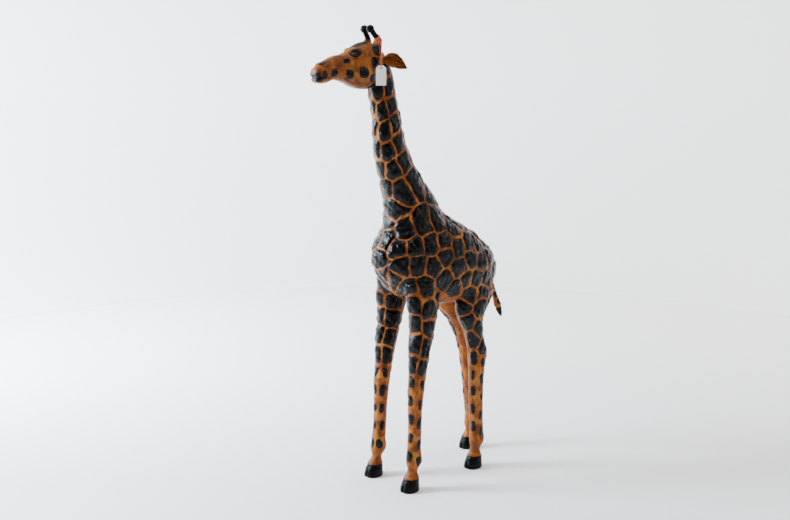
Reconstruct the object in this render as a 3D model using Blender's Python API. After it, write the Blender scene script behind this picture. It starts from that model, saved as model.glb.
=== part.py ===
"""A standing giraffe statue, about 1.5 m tall: carved wooden cores, dowelled and glued together,
covered with thin painted leather. The animal faces -Y, its left side is +X, and it stands on z = 0.

Every piece is an object of its own. Neighbours keep a gap of GAP, so that no two solids touch.
"""

import math

import bpy
import numpy as np
from mathutils import Vector

# Driving dimensions, in metres
MIDDLE_Y = -0.0565  # the statue's origin lies on the floor below the middle of its length, at this y
GAP = 0.0003  # clearance between neighbouring pieces
HIDE = 0.002  # thickness of the leather cover
GLUE = 0.0007  # glue line between the cover and the wooden core
HOOF_TOP = 0.043  # height of the joint between a hoof and its leg
HORN_BASE = Vector((0.0315, -0.2225, 1.4400))
HORN_TOP = Vector((0.0120, -0.2695, 1.5035))
EYE_CENTRE = Vector((0.0320, -0.3330, 1.4165))
EYE_RADIUS = 0.0100
EAR_ROOT = Vector((0.0335, -0.2230, 1.4065))
EAR_TIP = Vector((0.1000, -0.1860, 1.3740))
EAR_THICKNESS = 0.0028
TAIL_ROOT = Vector((0.0, 0.2795, 0.6680))
TAIL_SLOPE = 0.42  # how far the tail leans back for each metre that it drops
TAIL_RADIUS = 0.0095
TAG_WIDTH, TAG_HEIGHT, TAG_THICKNESS = 0.032, 0.060, 0.0010
TAG_HOLE = Vector((0.0620, -0.2590, 1.3765))  # centre of the hole in the tag
TAG_TURN = math.radians(25)  # how far the tag's face is turned from +X towards -Y
STRING_DIAMETER = 0.0016
LOOP_UP_HORN = 0.036  # how far up the left horn the string is tied
LOOP_RADIUS = 0.0118
PEG_RADIUS, PEG_DEPTH = 0.005, 0.024
LEG_DOWEL_RADIUS = 0.009

# Sections. Every row is a design section; the surface runs smoothly through all of them.
# Trunk: y, height of the back, height of the belly, half width
TRUNK = (
    (-0.218, 0.862, 0.668, 0.092),
    (-0.150, 0.912, 0.625, 0.109),
    (-0.070, 0.922, 0.602, 0.118),
    (0.020, 0.905, 0.593, 0.125),
    (0.110, 0.860, 0.590, 0.127),
    (0.190, 0.822, 0.590, 0.122),
    (0.270, 0.785, 0.580, 0.112),
)
# Head: y, height of the crown, height of the jaw, half width
HEAD = (
    (-0.468, 1.386, 1.324, 0.029),
    (-0.435, 1.396, 1.328, 0.030),
    (-0.400, 1.410, 1.340, 0.030),
    (-0.360, 1.418, 1.333, 0.034),
    (-0.325, 1.437, 1.319, 0.041),
    (-0.285, 1.458, 1.310, 0.046),
    (-0.240, 1.460, 1.314, 0.045),
    (-0.206, 1.450, 1.335, 0.042),
)
# Neck: height, y of its middle, half depth, half width
NECK = (
    (0.790, -0.062, 0.118, 0.085),
    (0.870, -0.066, 0.111, 0.085),
    (0.949, -0.088, 0.092, 0.072),
    (1.023, -0.127, 0.074, 0.057),
    (1.095, -0.161, 0.062, 0.048),
    (1.165, -0.180, 0.053, 0.042),
    (1.234, -0.190, 0.047, 0.038),
    (1.301, -0.205, 0.045, 0.036),
    (1.350, -0.211, 0.042, 0.034),
    (1.390, -0.217, 0.033, 0.029),
    (1.425, -0.228, 0.022, 0.021),
)
# Legs, as if standing square: height, x and y of the middle, half depth, half width
FRONT_LEG = (
    (0.043, 0.0965, -0.162, 0.0265, 0.0245),
    (0.068, 0.0955, -0.156, 0.0165, 0.0155),
    (0.095, 0.0945, -0.149, 0.0265, 0.0240),
    (0.130, 0.0935, -0.148, 0.0240, 0.0215),
    (0.190, 0.0920, -0.144, 0.0225, 0.0205),
    (0.272, 0.0905, -0.141, 0.0240, 0.0220),
    (0.333, 0.0895, -0.137, 0.0275, 0.0255),
    (0.393, 0.0880, -0.129, 0.0300, 0.0270),
    (0.473, 0.0860, -0.119, 0.0380, 0.0320),
    (0.552, 0.0830, -0.104, 0.0445, 0.0370),
    (0.620, 0.0790, -0.098, 0.0570, 0.0400),
    (0.690, 0.0680, -0.100, 0.0600, 0.0380),
)
HIND_LEG = (
    (0.043, 0.0880, 0.139, 0.0255, 0.0235),
    (0.066, 0.0870, 0.143, 0.0170, 0.0160),
    (0.092, 0.0865, 0.150, 0.0255, 0.0230),
    (0.130, 0.0855, 0.150, 0.0240, 0.0220),
    (0.200, 0.0840, 0.147, 0.0250, 0.0225),
    (0.291, 0.0825, 0.147, 0.0265, 0.0235),
    (0.377, 0.0810, 0.151, 0.0310, 0.0270),
    (0.412, 0.0800, 0.154, 0.0360, 0.0300),
    (0.455, 0.0795, 0.142, 0.0315, 0.0310),
    (0.490, 0.0790, 0.132, 0.0330, 0.0330),
    (0.550, 0.0775, 0.121, 0.0480, 0.0370),
    (0.580, 0.0760, 0.126, 0.0620, 0.0390),
    (0.615, 0.0740, 0.137, 0.0740, 0.0400),
    (0.660, 0.0680, 0.144, 0.0760, 0.0400),
    (0.700, 0.0600, 0.130, 0.0560, 0.0340),
)
HIP_HEIGHT = 0.62
STANCE_POWER = 2.2
# Heights at which the skin of a leg has a ring: closer together at the ankle and the hock
LEG_RINGS = (0.043, 0.053, 0.067, 0.094, 0.130, 0.205, 0.290)
LEG_RINGS += (0.370, 0.412, 0.455, 0.510, 0.570, 0.630, 0.690)
# Stance of each leg: its side, then how far its hip and its hoof are shifted from the square rows
STANCE = {
    "left_front": (FRONT_LEG, 1, (0.0, 0.0), (0.007, -0.006)),
    "right_front": (FRONT_LEG, -1, (0.0, 0.0), (0.019, -0.014)),
    "left_hind": (HIND_LEG, 1, (0.0, 0.0), (0.0, 0.0)),
    "right_hind": (HIND_LEG, -1, (0.0, 0.030), (0.024, 0.121)),
}


def smooth(rows, keys):
    """The rows' values at keys, their first column: a cubic between rows with the mean slope at each."""
    table = np.array(rows, float)
    place, values = table[:, 0], table[:, 1:]
    slope = np.gradient(values, place, axis=0)
    keys = np.asarray(keys, float)
    row = np.clip(np.searchsorted(place, keys, side="right") - 1, 0, len(place) - 2)
    span = (place[row + 1] - place[row])[:, None]
    t = (keys - place[row])[:, None] / span
    start = values[row] * (1 + 2 * t) + slope[row] * span * t
    end = values[row + 1] * (3 - 2 * t) + slope[row + 1] * span * (t - 1)
    return start * (1 - t) ** 2 + end * t**2


def outline(sides, power=2.0):
    """A superellipse of half axes 1, as sides points."""
    angle = np.linspace(0, 2 * math.pi, sides, endpoint=False)
    wave = np.stack([np.cos(angle), np.sin(angle)], axis=1)
    return np.sign(wave) * np.abs(wave) ** (2 / power)


def loft_data(rings):
    """Vertices and outward triangles of the closed skin over rings, an array (rings, sides, 3). Nested
    skins are split along the same diagonals, so the gap between them stays even."""
    count, sides, _ = rings.shape
    points = np.concatenate([rings.reshape(-1, 3), rings[[0, -1]].mean(axis=1)])
    ring, side = np.meshgrid(np.arange(count - 1), np.arange(sides), indexing="ij")
    here = ring * sides + side
    beside = ring * sides + (side + 1) % sides
    lower = np.stack([here, beside, beside + sides], axis=-1).reshape(-1, 3)
    upper = np.stack([here, beside + sides, here + sides], axis=-1).reshape(-1, 3)
    first = np.arange(sides)
    last = first + (count - 1) * sides
    pole = count * sides
    start = np.stack([np.roll(first, -1), first, np.full(sides, pole)], axis=1)
    end = np.stack([last, np.roll(last, -1), np.full(sides, pole + 1)], axis=1)
    faces = np.concatenate([lower, upper, start, end])
    a, b, c = points[faces].transpose(1, 0, 2)
    if (a * np.cross(b, c)).sum() < 0:
        faces = faces[:, ::-1]
    return points, faces


def new_object(name, points, faces, material=None):
    mesh = bpy.data.meshes.new(name)
    mesh.from_pydata(points.tolist(), [], faces.tolist())
    mesh.update()
    made = bpy.data.objects.new(name, mesh)
    bpy.context.collection.objects.link(made)
    mesh.shade_smooth()
    mesh.set_sharp_from_angle(angle=math.radians(40))
    if material:
        mesh.materials.append(material)
    return made


def solid(name, rings, material=None):
    return new_object(name, *loft_data(rings), material)


def shell(name, outer, inner, material):
    """The wall between two closed skins. It stays sealed until its openings are cut."""
    points, faces = loft_data(outer)
    inner_points, inner_faces = loft_data(inner)
    all_faces = np.concatenate([faces, inner_faces[:, ::-1] + len(points)])
    return new_object(name, np.concatenate([points, inner_points]), all_faces, material)


def cutter(name, rings):
    made = solid(name, rings)
    made.hide_render = True
    made.display_type = "WIRE"
    return made


def cut(target, *tools):
    """Takes the tools away from the target, with live Boolean modifiers."""
    for tool in tools:
        modifier = target.modifiers.new("cut_" + tool.name, "BOOLEAN")
        modifier.operation = "DIFFERENCE"
        modifier.solver = "EXACT"
        modifier.object = tool


def round_rings(rows, front_power, back_power, squareness, sides, count):
    """Rings of a long body closed by round ends. rows hold y, top, bottom and half width; a ring's
    half sizes are the rows' values times the height of a superellipse over the length, whose power
    differs between the front and the back half. squareness is the power of the rings themselves.
    """
    start, end = rows[0][0], rows[-1][0]
    along = -np.cos(np.linspace(0.10, math.pi - 0.10, count))
    y = (start + end) / 2 + (end - start) / 2 * along
    power = np.where(along < 0, front_power, back_power)
    swell = (1 - np.abs(along) ** power) ** (1 / power)
    top, bottom, half_width = smooth(rows, y).T
    around = outline(sides, squareness)
    x = (half_width * swell)[:, None] * around[:, 0]
    z = ((top + bottom) / 2)[:, None] + ((top - bottom) / 2 * swell)[:, None] * around[:, 1]
    return np.stack([x, np.broadcast_to(y[:, None], x.shape), z], axis=-1)


def grown(rings, distance):
    """The same rings, moved outwards along the surface's normals."""
    along = np.gradient(rings, axis=0)
    around = np.roll(rings, -1, axis=1) - np.roll(rings, 1, axis=1)
    normal = np.cross(around, along)
    normal /= np.linalg.norm(normal, axis=-1, keepdims=True)
    spokes = rings - rings.mean(axis=1, keepdims=True)
    return rings + math.copysign(distance, distance * (spokes * normal).sum()) * normal


def trunk_rings(grow):
    return grown(round_rings(TRUNK, 2.7, 2.7, 2.25, 22, 15), grow)


def head_rings(grow):
    return grown(round_rings(HEAD, 4.5, 2.5, 2.6, 18, 16), grow)


def column_rings(heights, middle_x, middle_y, half_depth, half_width, grow, sides):
    """Level rings at the heights, each a rounded outline about its own middle."""
    around = outline(sides, 2.1)
    x = middle_x[:, None] + (half_width + grow)[:, None] * around[:, 0]
    y = middle_y[:, None] + (half_depth + grow)[:, None] * around[:, 1]
    return np.stack([x, y, np.broadcast_to(heights[:, None], x.shape)], axis=-1)


def neck_rings(grow):
    heights = np.linspace(NECK[0][0] - grow, NECK[-1][0] + grow, 13)
    middle_y, half_depth, half_width = smooth(NECK, np.clip(heights, NECK[0][0], NECK[-1][0])).T
    return column_rings(heights, np.zeros(13), middle_y, half_depth, half_width, grow, 16)


def stance_rows(rows, side, hip, hoof):
    """A leg's rows moved into its stance. The hoof's share of the shift is 1 on the floor and falls
    to 0 at the hip with the STANCE_POWER of the height."""
    table = np.array(rows)
    table[:, 1] *= side
    weight = 1 - np.clip(table[:, :1] / HIP_HEIGHT, 0, 1) ** STANCE_POWER
    table[:, 1:3] += np.array(hip) * (1 - weight) + np.array(hoof) * weight
    return table


def leg_rings(rows, grow, longer=0.0):
    """A leg from its ankle to inside the trunk; longer carries its low end on past a wall to cut."""
    heights = np.array(LEG_RINGS)
    middle_x, middle_y, half_depth, half_width = smooth(rows, heights).T
    heights[-1] += grow
    rings = column_rings(heights, middle_x, middle_y, half_depth, half_width, grow, 12)
    if longer:
        rings = np.concatenate([rings[:1] - np.array([0, 0, longer]), rings])
    return rings


def rod_rings(start, end, profile, sides):
    """Round rings on the line from start to end. profile pairs a distance along it with a radius."""
    axis = (end - start).normalized()
    across = axis.orthogonal().normalized()
    third = axis.cross(across)
    around = outline(sides)
    centres = np.array([start + axis * distance for distance, _ in profile])
    radii = np.array([radius for _, radius in profile])[:, None, None]
    spokes = around[:, :1] * np.array(across) + around[:, 1:] * np.array(third)
    return centres[:, None, :] + radii * spokes[None]


def plain_rod(start, end, radius, grow=0.0, sides=12):
    length = (end - start).length
    return rod_rings(start, end, ((-grow, radius + grow), (length + grow, radius + grow)), sides)


def flat_material(name, hex_colour, roughness, metallic=0.0):
    """A Principled material whose colour is an sRGB hex value."""
    channels = [int(hex_colour[i : i + 2], 16) / 255 for i in (0, 2, 4)]
    linear = [((c + 0.055) / 1.055) ** 2.4 if c > 0.04045 else c / 12.92 for c in channels]
    material = bpy.data.materials.new(name)
    material.use_nodes = True
    surface = material.node_tree.nodes["Principled BSDF"]
    surface.inputs["Base Color"].default_value = (*linear, 1)
    surface.inputs["Roughness"].default_value = roughness
    surface.inputs["Metallic"].default_value = metallic
    return material


def mirrored(point, side):
    return Vector((side * point.x, point.y, point.z))


def body_pieces(wood, leather):
    """Trunk, neck and head: a wooden core and a leather cover each, with the dowels between cores."""
    skins = {"trunk": trunk_rings, "neck": neck_rings, "head": head_rings}
    cores, covers, insides, outsides = {}, {}, {}, {}
    for name, rings in skins.items():
        cores[name] = solid(name + "_core", rings(-HIDE - GLUE), wood)
        covers[name] = shell(name + "_cover", rings(0), rings(-HIDE), leather)
        insides[name] = cutter(name + "_inside", rings(-HIDE))
        outsides[name] = cutter(name + "_outside", rings(GAP))
    cut(cores["neck"], insides["trunk"], insides["head"])
    cut(covers["neck"], outsides["trunk"], outsides["head"])
    cut(covers["trunk"], insides["neck"])
    cut(covers["head"], insides["neck"])
    dowels = (
        ("neck_dowel", Vector((0, -0.062, 0.800)), Vector((0, -0.112, 1.010)), 0.011, "trunk"),
        ("head_dowel", Vector((0, -0.204, 1.262)), Vector((0, -0.232, 1.395)), 0.008, "head"),
    )
    for name, start, end, radius, other in dowels:
        solid(name, plain_rod(start, end, radius), wood)
        hole = cutter(name + "_hole", plain_rod(start, end, radius, GAP))
        cut(cores["neck"], hole)
        cut(cores[other], hole)
    return cores, covers, insides, outsides


def leg_pieces(name, stance, cores, covers, insides, outsides, wood, leather, horn):
    """One leg: core, cover, hoof, the dowel up into the trunk and the peg down into the hoof."""
    rows = stance_rows(*stance)
    core = solid(name + "_leg_core", leg_rings(rows, -HIDE - GLUE), wood)
    cut(core, insides["trunk"])
    cover = solid(name + "_leg_cover", leg_rings(rows, 0), leather)
    bore = cutter(name + "_leg_inside", leg_rings(rows, -HIDE, longer=0.01))
    cut(cover, bore, outsides["trunk"])
    cut(covers["trunk"], bore)

    hip_x, hip_y = smooth(rows, [0.640])[0][:2]
    low_x, low_y = smooth(rows, [0.520])[0][:2]
    start, end = Vector((low_x, low_y, 0.520)), Vector((hip_x, hip_y, 0.675))
    solid(name + "_leg_dowel", plain_rod(start, end, LEG_DOWEL_RADIUS), wood)
    dowel_hole = cutter(name + "_leg_dowel_hole", plain_rod(start, end, LEG_DOWEL_RADIUS, GAP))
    cut(core, dowel_hole)
    cut(cores["trunk"], dowel_hole)

    ankle_x, ankle_y = rows[0][1:3]
    middle = Vector((ankle_x, ankle_y, HOOF_TOP))
    hoof = solid(name + "_hoof", hoof_rings(middle), horn)
    cut(hoof, hoof_cleft(name + "_hoof_cleft", middle))
    low, high = middle - Vector((0, 0, PEG_DEPTH)), middle + Vector((0, 0, PEG_DEPTH))
    solid(name + "_hoof_peg", plain_rod(low, high, PEG_RADIUS), wood)
    peg_hole = cutter(name + "_hoof_peg_hole", plain_rod(low, high, PEG_RADIUS, GAP))
    cut(hoof, peg_hole)
    cut(core, peg_hole)


def hoof_rings(ankle):
    """A hoof from its flat sole up to the ankle, flaring forwards. Rows hold height, how far its
    middle is ahead of the ankle, half depth and half width."""
    rows = (
        (0.000, 0.0070, 0.0315, 0.0270),
        (0.003, 0.0070, 0.0330, 0.0285),
        (0.014, 0.0060, 0.0325, 0.0285),
        (0.028, 0.0035, 0.0300, 0.0268),
        (0.038, 0.0010, 0.0275, 0.0250),
        (HOOF_TOP - GAP, 0.0000, 0.0262, 0.0242),
    )
    heights, ahead, half_depth, half_width = np.array(rows).T
    return column_rings(
        heights, np.full(6, ankle.x), ankle.y - ahead, half_depth, half_width, 0.0, 16
    )


def hoof_cleft(name, ankle):
    """A wedge that parts the two toes at the front of the hoof."""
    front, back = ankle.y - 0.050, ankle.y - 0.026
    level = [(-0.002, 0.0026, back), (0.014, 0.0016, back), (0.030, 0.0006, back - 0.009)]
    rings = [
        [(ankle.x - w, front, z), (ankle.x + w, front, z), (ankle.x + w, y, z), (ankle.x - w, y, z)]
        for z, w, y in level
    ]
    return cutter(name, np.array(rings))


def horns_and_eyes(cores, covers, horn, glass):
    """Two knobbed horns on pegs and two glass eyes, each let into the head."""
    length = (HORN_TOP - HORN_BASE).length
    knob = 0.0128
    shaft = [(-0.024, 0.0050), (-0.0005, 0.0050), (0.0, 0.0105), (0.018, 0.0092), (length - 0.026, 0.0086)]
    dome = [
        (length - 0.0115 + 0.0115 * math.sin(a), knob * math.cos(a))
        for a in np.linspace(-0.75, 1.45, 6)
    ]
    for side, word in ((1, "left"), (-1, "right")):
        base, top = mirrored(HORN_BASE, side), mirrored(HORN_TOP, side)
        solid(word + "_horn", rod_rings(base, top, shaft + dome, 12), horn)
        wider = [(distance - GAP, radius + GAP) for distance, radius in shaft]
        socket = cutter(word + "_horn_socket", rod_rings(base, top, wider, 12))
        cut(covers["head"], socket)
        cut(cores["head"], socket)

        centre = mirrored(EYE_CENTRE, side)
        solid(word + "_eye", eye_rings(centre, EYE_RADIUS), glass)
        socket = cutter(word + "_eye_socket", eye_rings(centre, EYE_RADIUS + GAP))
        cut(covers["head"], socket)
        cut(cores["head"], socket)


def eye_rings(centre, radius):
    """A ball, as rings from its back to its front along x."""
    turn = np.linspace(-1.45, 1.45, 8)
    around = outline(12)
    x = centre.x + radius * np.sin(turn)[:, None] * np.ones(12)
    y = centre.y + radius * np.cos(turn)[:, None] * around[:, 0]
    z = centre.z + radius * np.cos(turn)[:, None] * around[:, 1]
    return np.stack([x, y, z], axis=-1)


def ear(word, side, leather):
    """A leather leaf, folded along its length: it widens from the root, then narrows to a point."""
    root, tip = mirrored(EAR_ROOT, side), mirrored(EAR_TIP, side)
    along = (tip - root).normalized()
    up = (Vector((0, 0, 1)) - along * along.z).normalized()
    out = along.cross(up) * side
    length = (tip - root).length
    rings = []
    for share in np.linspace(0.0, 1.0, 9):
        half = 0.0035 + 0.0195 * math.sin(math.pi * min(share, 0.98) ** 0.75) ** 0.9
        cup = 0.55 * half
        lift = 0.006 * math.sin(math.pi * share)
        across = np.linspace(-1, 1, 7)
        depth = cup * (1 - across**2)
        spine = root + along * (share * length) + up * lift
        face = [spine + up * (half * a) - out * d for a, d in zip(across, depth)]
        back = [p - out * EAR_THICKNESS for p in face]
        rings.append([list(p) for p in face] + [list(p) for p in back[::-1]])
    solid(word + "_ear", np.array(rings), leather)


def mane(outsides, leather):
    """A narrow dark strip that stands on the nape from the poll to the withers."""
    heights = np.linspace(0.918, 1.372, 15)
    rows = [(z, y, depth) for z, y, depth, _ in NECK]
    middle, depth = smooth(rows, np.clip(heights, NECK[0][0], NECK[-1][0])).T
    crest = middle + depth
    lean = np.gradient(crest, heights)
    normal = np.stack([np.ones(15), -lean], axis=1) / np.hypot(1, lean)[:, None]
    half, proud, sunk = 0.0032, 0.0070, 0.0060
    taper = np.sqrt(np.clip(np.minimum(heights - heights[0], heights[-1] - heights) / 0.03, 0.15, 1))
    rings = []
    for y, z, (ny, nz), share in zip(crest, heights, normal, taper):
        high, low = proud * share, -sunk
        section = ((-half, low), (half, low), (half, high * 0.7), (0.0, high), (-half, high * 0.7))
        rings.append([(x, y + ny * out, z + nz * out) for x, out in section])
    made = solid("mane", np.array(rings), leather)
    cut(made, *outsides.values())


def tail(leather, tuft, steel):
    """A leather sleeve on a stiff wire, with a dark tuft below a flared collar."""
    lean = Vector((0.0, TAIL_SLOPE, -1.0)).normalized()
    sleeve_length, tuft_length, bore = 0.143, 0.046, 0.0022
    outer = [(0.0, 0.0085), (0.008, TAIL_RADIUS), (0.095, TAIL_RADIUS), (0.118, 0.0110)]
    outer += [(sleeve_length - 0.010, 0.0132), (sleeve_length, 0.0118)]
    end = TAIL_ROOT + lean * sleeve_length
    sleeve = solid("tail_sleeve", rod_rings(TAIL_ROOT, end, outer, 14), leather)
    wire_end = end + lean * 0.020
    wire_start = TAIL_ROOT + lean * 0.004
    solid("tail_wire", plain_rod(wire_start, wire_end, bore - GAP, sides=8), steel)
    bore_start = TAIL_ROOT - lean * 0.01
    hole = cutter("tail_wire_hole", plain_rod(bore_start, wire_end + lean * GAP, bore, sides=8))
    taper = [(GAP, 0.0098), (0.008, 0.0104), (0.024, 0.0088), (0.038, 0.0052), (tuft_length, 0.0014)]
    tip = solid("tail_tuft", rod_rings(end, end + lean, taper, 14), tuft)
    cut(sleeve, hole)
    cut(tip, hole)


def tag_frame():
    """The tag's axes: across its face, up, and out of it."""
    out = Vector((math.cos(TAG_TURN), -math.sin(TAG_TURN), 0.0))
    up = Vector((0.0, 0.0, 1.0))
    return up.cross(out), up, out


def hang_tag(paper):
    """A blank card with its two upper corners cut off and a punched hole."""
    across, up, out = tag_frame()
    half, corner, above = TAG_WIDTH / 2, 0.008, 0.007
    shape = (
        (-half, above - TAG_HEIGHT),
        (half, above - TAG_HEIGHT),
        (half, above - corner),
        (half - corner, above),
        (corner - half, above),
        (-half, above - corner),
    )
    faces = [
        [TAG_HOLE + across * a + up * b + out * (side * TAG_THICKNESS / 2) for a, b in shape]
        for side in (-1, 1)
    ]
    card = solid("hang_tag", np.array(faces), paper)
    hole = cutter("hang_tag_hole", plain_rod(TAG_HOLE - out * 0.005, TAG_HOLE + out * 0.005, 0.0030))
    cut(card, hole)


def loop_frame():
    """The loop's centre on the left horn's axis, two directions across the horn, the first of them
    sideways, and the hold beside the loop, from which the string hangs."""
    axis = (HORN_TOP - HORN_BASE).normalized()
    centre = HORN_BASE + axis * LOOP_UP_HORN
    sideways = (Vector((1, 0, 0)) - axis * axis.x).normalized()
    hold = centre + sideways * (LOOP_RADIUS + 1.3 * STRING_DIAMETER)
    return centre, sideways, axis.cross(sideways), hold


def string_route():
    """Down from the loop at the horn, through the hole in the tag, and up again beside itself. The
    two strands part a little on the way, and turn is the radius of the bend round the card's edge."""
    across, up, out = tag_frame()
    hold = loop_frame()[3]
    turn = 0.0032
    down = (TAG_HOLE - hold).normalized()
    points = [hold - across * 0.0016, hold + down * 0.030 - across * 0.0030 + out * 0.0035]
    points.append(TAG_HOLE + up * 0.016 - across * 0.0010 + out * 0.0034)
    for angle in np.linspace(-0.1, math.pi + 0.1, 7):
        bend = up * (0.0030 - 1.2 * turn * math.sin(angle)) + out * (turn * math.cos(angle))
        points.append(TAG_HOLE + bend)
    points.append(TAG_HOLE + up * 0.016 + across * 0.0010 - out * 0.0020)
    points.append(hold + down * 0.030 + across * 0.0030 + out * 0.0010)
    points.append(hold + across * 0.0016)
    return points


def curve_through(points, spacing):
    """Evenly spaced points on a centripetal curve through the given ones."""
    knots = np.array([list(p) for p in points])
    share = np.concatenate([[0], np.cumsum(np.sqrt(np.linalg.norm(np.diff(knots, axis=0), axis=1)))])
    rows = np.column_stack([share, knots])
    fine = smooth(rows, np.linspace(0, share[-1], 400))
    length = np.concatenate([[0], np.cumsum(np.linalg.norm(np.diff(fine, axis=0), axis=1))])
    even = np.linspace(0, length[-1], max(2, round(length[-1] / spacing) + 1))
    return np.stack([np.interp(even, length, fine[:, axis]) for axis in range(3)], axis=1)


def thread(name, route, spacing, cyclic, material):
    """A round thread along a route."""
    points = curve_through(route, spacing) if not cyclic else np.array([list(p) for p in route])
    line = bpy.data.curves.new(name, "CURVE")
    line.dimensions = "3D"
    line.bevel_depth = STRING_DIAMETER / 2
    line.bevel_resolution = 2
    line.use_fill_caps = not cyclic
    spline = line.splines.new("POLY")
    spline.points.add(len(points) - 1)
    for target, point in zip(spline.points, points):
        target.co = (*point, 1)
    spline.use_cyclic_u = cyclic
    line.materials.append(material)
    made = bpy.data.objects.new(name, line)
    bpy.context.collection.objects.link(made)
    return made


def string_pieces(cotton):
    """The loop tied round the left horn, and the doubled strand that the tag hangs on."""
    thread("tag_string", string_route(), 0.0031, False, cotton)
    centre, sideways, third, _ = loop_frame()
    ring = [
        centre + sideways * (LOOP_RADIUS * math.cos(a)) + third * (LOOP_RADIUS * math.sin(a))
        for a in np.linspace(0, 2 * math.pi, 20, endpoint=False)
    ]
    thread("string_loop", ring, 0.0, True, cotton)


def set_down(pivots):
    """Parents every piece to the statue's origin, and the moving ones to a pivot on their joint."""
    statue = bpy.data.objects.new("statue_origin", None)
    statue.location = (0, -MIDDLE_Y, 0)
    pieces = list(bpy.context.collection.objects)
    bpy.context.collection.objects.link(statue)
    for piece in pieces:
        piece.parent = statue
    for name, (place, moving) in pivots.items():
        pivot = bpy.data.objects.new(name + "_pivot", None)
        bpy.context.collection.objects.link(pivot)
        pivot.parent = statue
        pivot.location = place
        for piece in moving:
            bpy.data.objects[piece].parent = pivot
            bpy.data.objects[piece].location = -place


def main():
    for old in list(bpy.data.objects):
        bpy.data.objects.remove(old)
    wood = flat_material("carved_wood", "B58A5A", 0.75)
    leather = flat_material("painted_leather", "B4622B", 0.5)
    horn = flat_material("black_paint", "141414", 0.35)
    glass = flat_material("eye_glass", "0B0908", 0.05)
    paper = flat_material("tag_card", "F2F0EA", 0.7)
    cotton = flat_material("red_cotton", "A8341F", 0.9)
    steel = flat_material("iron_wire", "6B6B6B", 0.45, 1.0)

    shared = body_pieces(wood, leather)
    cores, covers, _, outsides = shared
    for name, stance in STANCE.items():
        leg_pieces(name, stance, *shared, wood, leather, horn)
    horns_and_eyes(cores, covers, horn, glass)
    ear("left", 1, leather)
    ear("right", -1, leather)
    mane(outsides, horn)
    tail(leather, horn, steel)
    hang_tag(paper)
    string_pieces(cotton)
    set_down(
        {
            "tail": (TAIL_ROOT, ("tail_sleeve", "tail_wire", "tail_tuft")),
            "left_ear": (mirrored(EAR_ROOT, 1), ("left_ear",)),
            "right_ear": (mirrored(EAR_ROOT, -1), ("right_ear",)),
            "tag": (loop_frame()[3], ("hang_tag", "tag_string")),
        }
    )


main()
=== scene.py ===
"""Looks of a leather-covered giraffe statue: black patches that stand proud of orange-brown leather,
matte black horns and hooves, leather ears, a wire-cored tail, and a card tag on a red cotton string.

Laid out as an add-on and run as a script. Lengths are metres; the animal faces -Y, its left is +X.
"""

import math

import bpy
import numpy as np
from bpy.props import FloatProperty, IntProperty, PointerProperty
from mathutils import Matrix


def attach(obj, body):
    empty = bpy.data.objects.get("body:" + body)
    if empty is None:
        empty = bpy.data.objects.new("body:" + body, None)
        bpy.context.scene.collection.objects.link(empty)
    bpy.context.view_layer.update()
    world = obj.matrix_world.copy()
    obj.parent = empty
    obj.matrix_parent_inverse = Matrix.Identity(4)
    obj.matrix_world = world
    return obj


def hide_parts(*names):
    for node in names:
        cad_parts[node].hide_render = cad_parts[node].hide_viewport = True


bl_info = {
    "name": "Leather Giraffe Statue",
    "version": (1, 0, 0),
    "blender": (4, 5, 0),
    "location": "View3D > Sidebar > Giraffe",
    "description": "Builds the visible leather, horns, hooves, tail and tag of a giraffe statue",
    "category": "Add Mesh",
}

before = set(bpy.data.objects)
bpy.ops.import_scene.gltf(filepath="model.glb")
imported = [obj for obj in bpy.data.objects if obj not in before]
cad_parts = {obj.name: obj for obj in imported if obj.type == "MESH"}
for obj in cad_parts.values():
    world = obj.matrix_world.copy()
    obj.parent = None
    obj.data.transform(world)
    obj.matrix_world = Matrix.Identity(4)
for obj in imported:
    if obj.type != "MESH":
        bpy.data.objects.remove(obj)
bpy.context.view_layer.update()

# The statue was drawn with its origin elsewhere along y; everything is moved by this before use.
SHIFT = np.array([0.0, 0.0565, 0.0])

# Sections of the skin. Trunk: y, height of the back, height of the belly, half width
TRUNK = (
    (-0.218, 0.862, 0.668, 0.092),
    (-0.150, 0.912, 0.625, 0.109),
    (-0.070, 0.922, 0.602, 0.118),
    (0.020, 0.905, 0.593, 0.125),
    (0.110, 0.860, 0.590, 0.127),
    (0.190, 0.822, 0.590, 0.122),
    (0.270, 0.785, 0.580, 0.112),
)
# Head: y, height of the crown, height of the jaw, half width
HEAD = (
    (-0.468, 1.386, 1.324, 0.029),
    (-0.435, 1.396, 1.328, 0.030),
    (-0.400, 1.410, 1.340, 0.030),
    (-0.360, 1.418, 1.333, 0.034),
    (-0.325, 1.437, 1.319, 0.041),
    (-0.285, 1.458, 1.310, 0.046),
    (-0.240, 1.460, 1.314, 0.045),
    (-0.206, 1.450, 1.335, 0.042),
)
# Neck: height, y of its middle, half depth, half width
NECK = (
    (0.790, -0.062, 0.118, 0.085),
    (0.870, -0.066, 0.111, 0.085),
    (0.949, -0.088, 0.092, 0.072),
    (1.023, -0.127, 0.074, 0.057),
    (1.095, -0.161, 0.062, 0.048),
    (1.165, -0.180, 0.053, 0.042),
    (1.234, -0.190, 0.047, 0.038),
    (1.301, -0.205, 0.045, 0.036),
    (1.350, -0.211, 0.042, 0.034),
    (1.390, -0.217, 0.033, 0.029),
    (1.425, -0.228, 0.022, 0.021),
)
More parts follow.
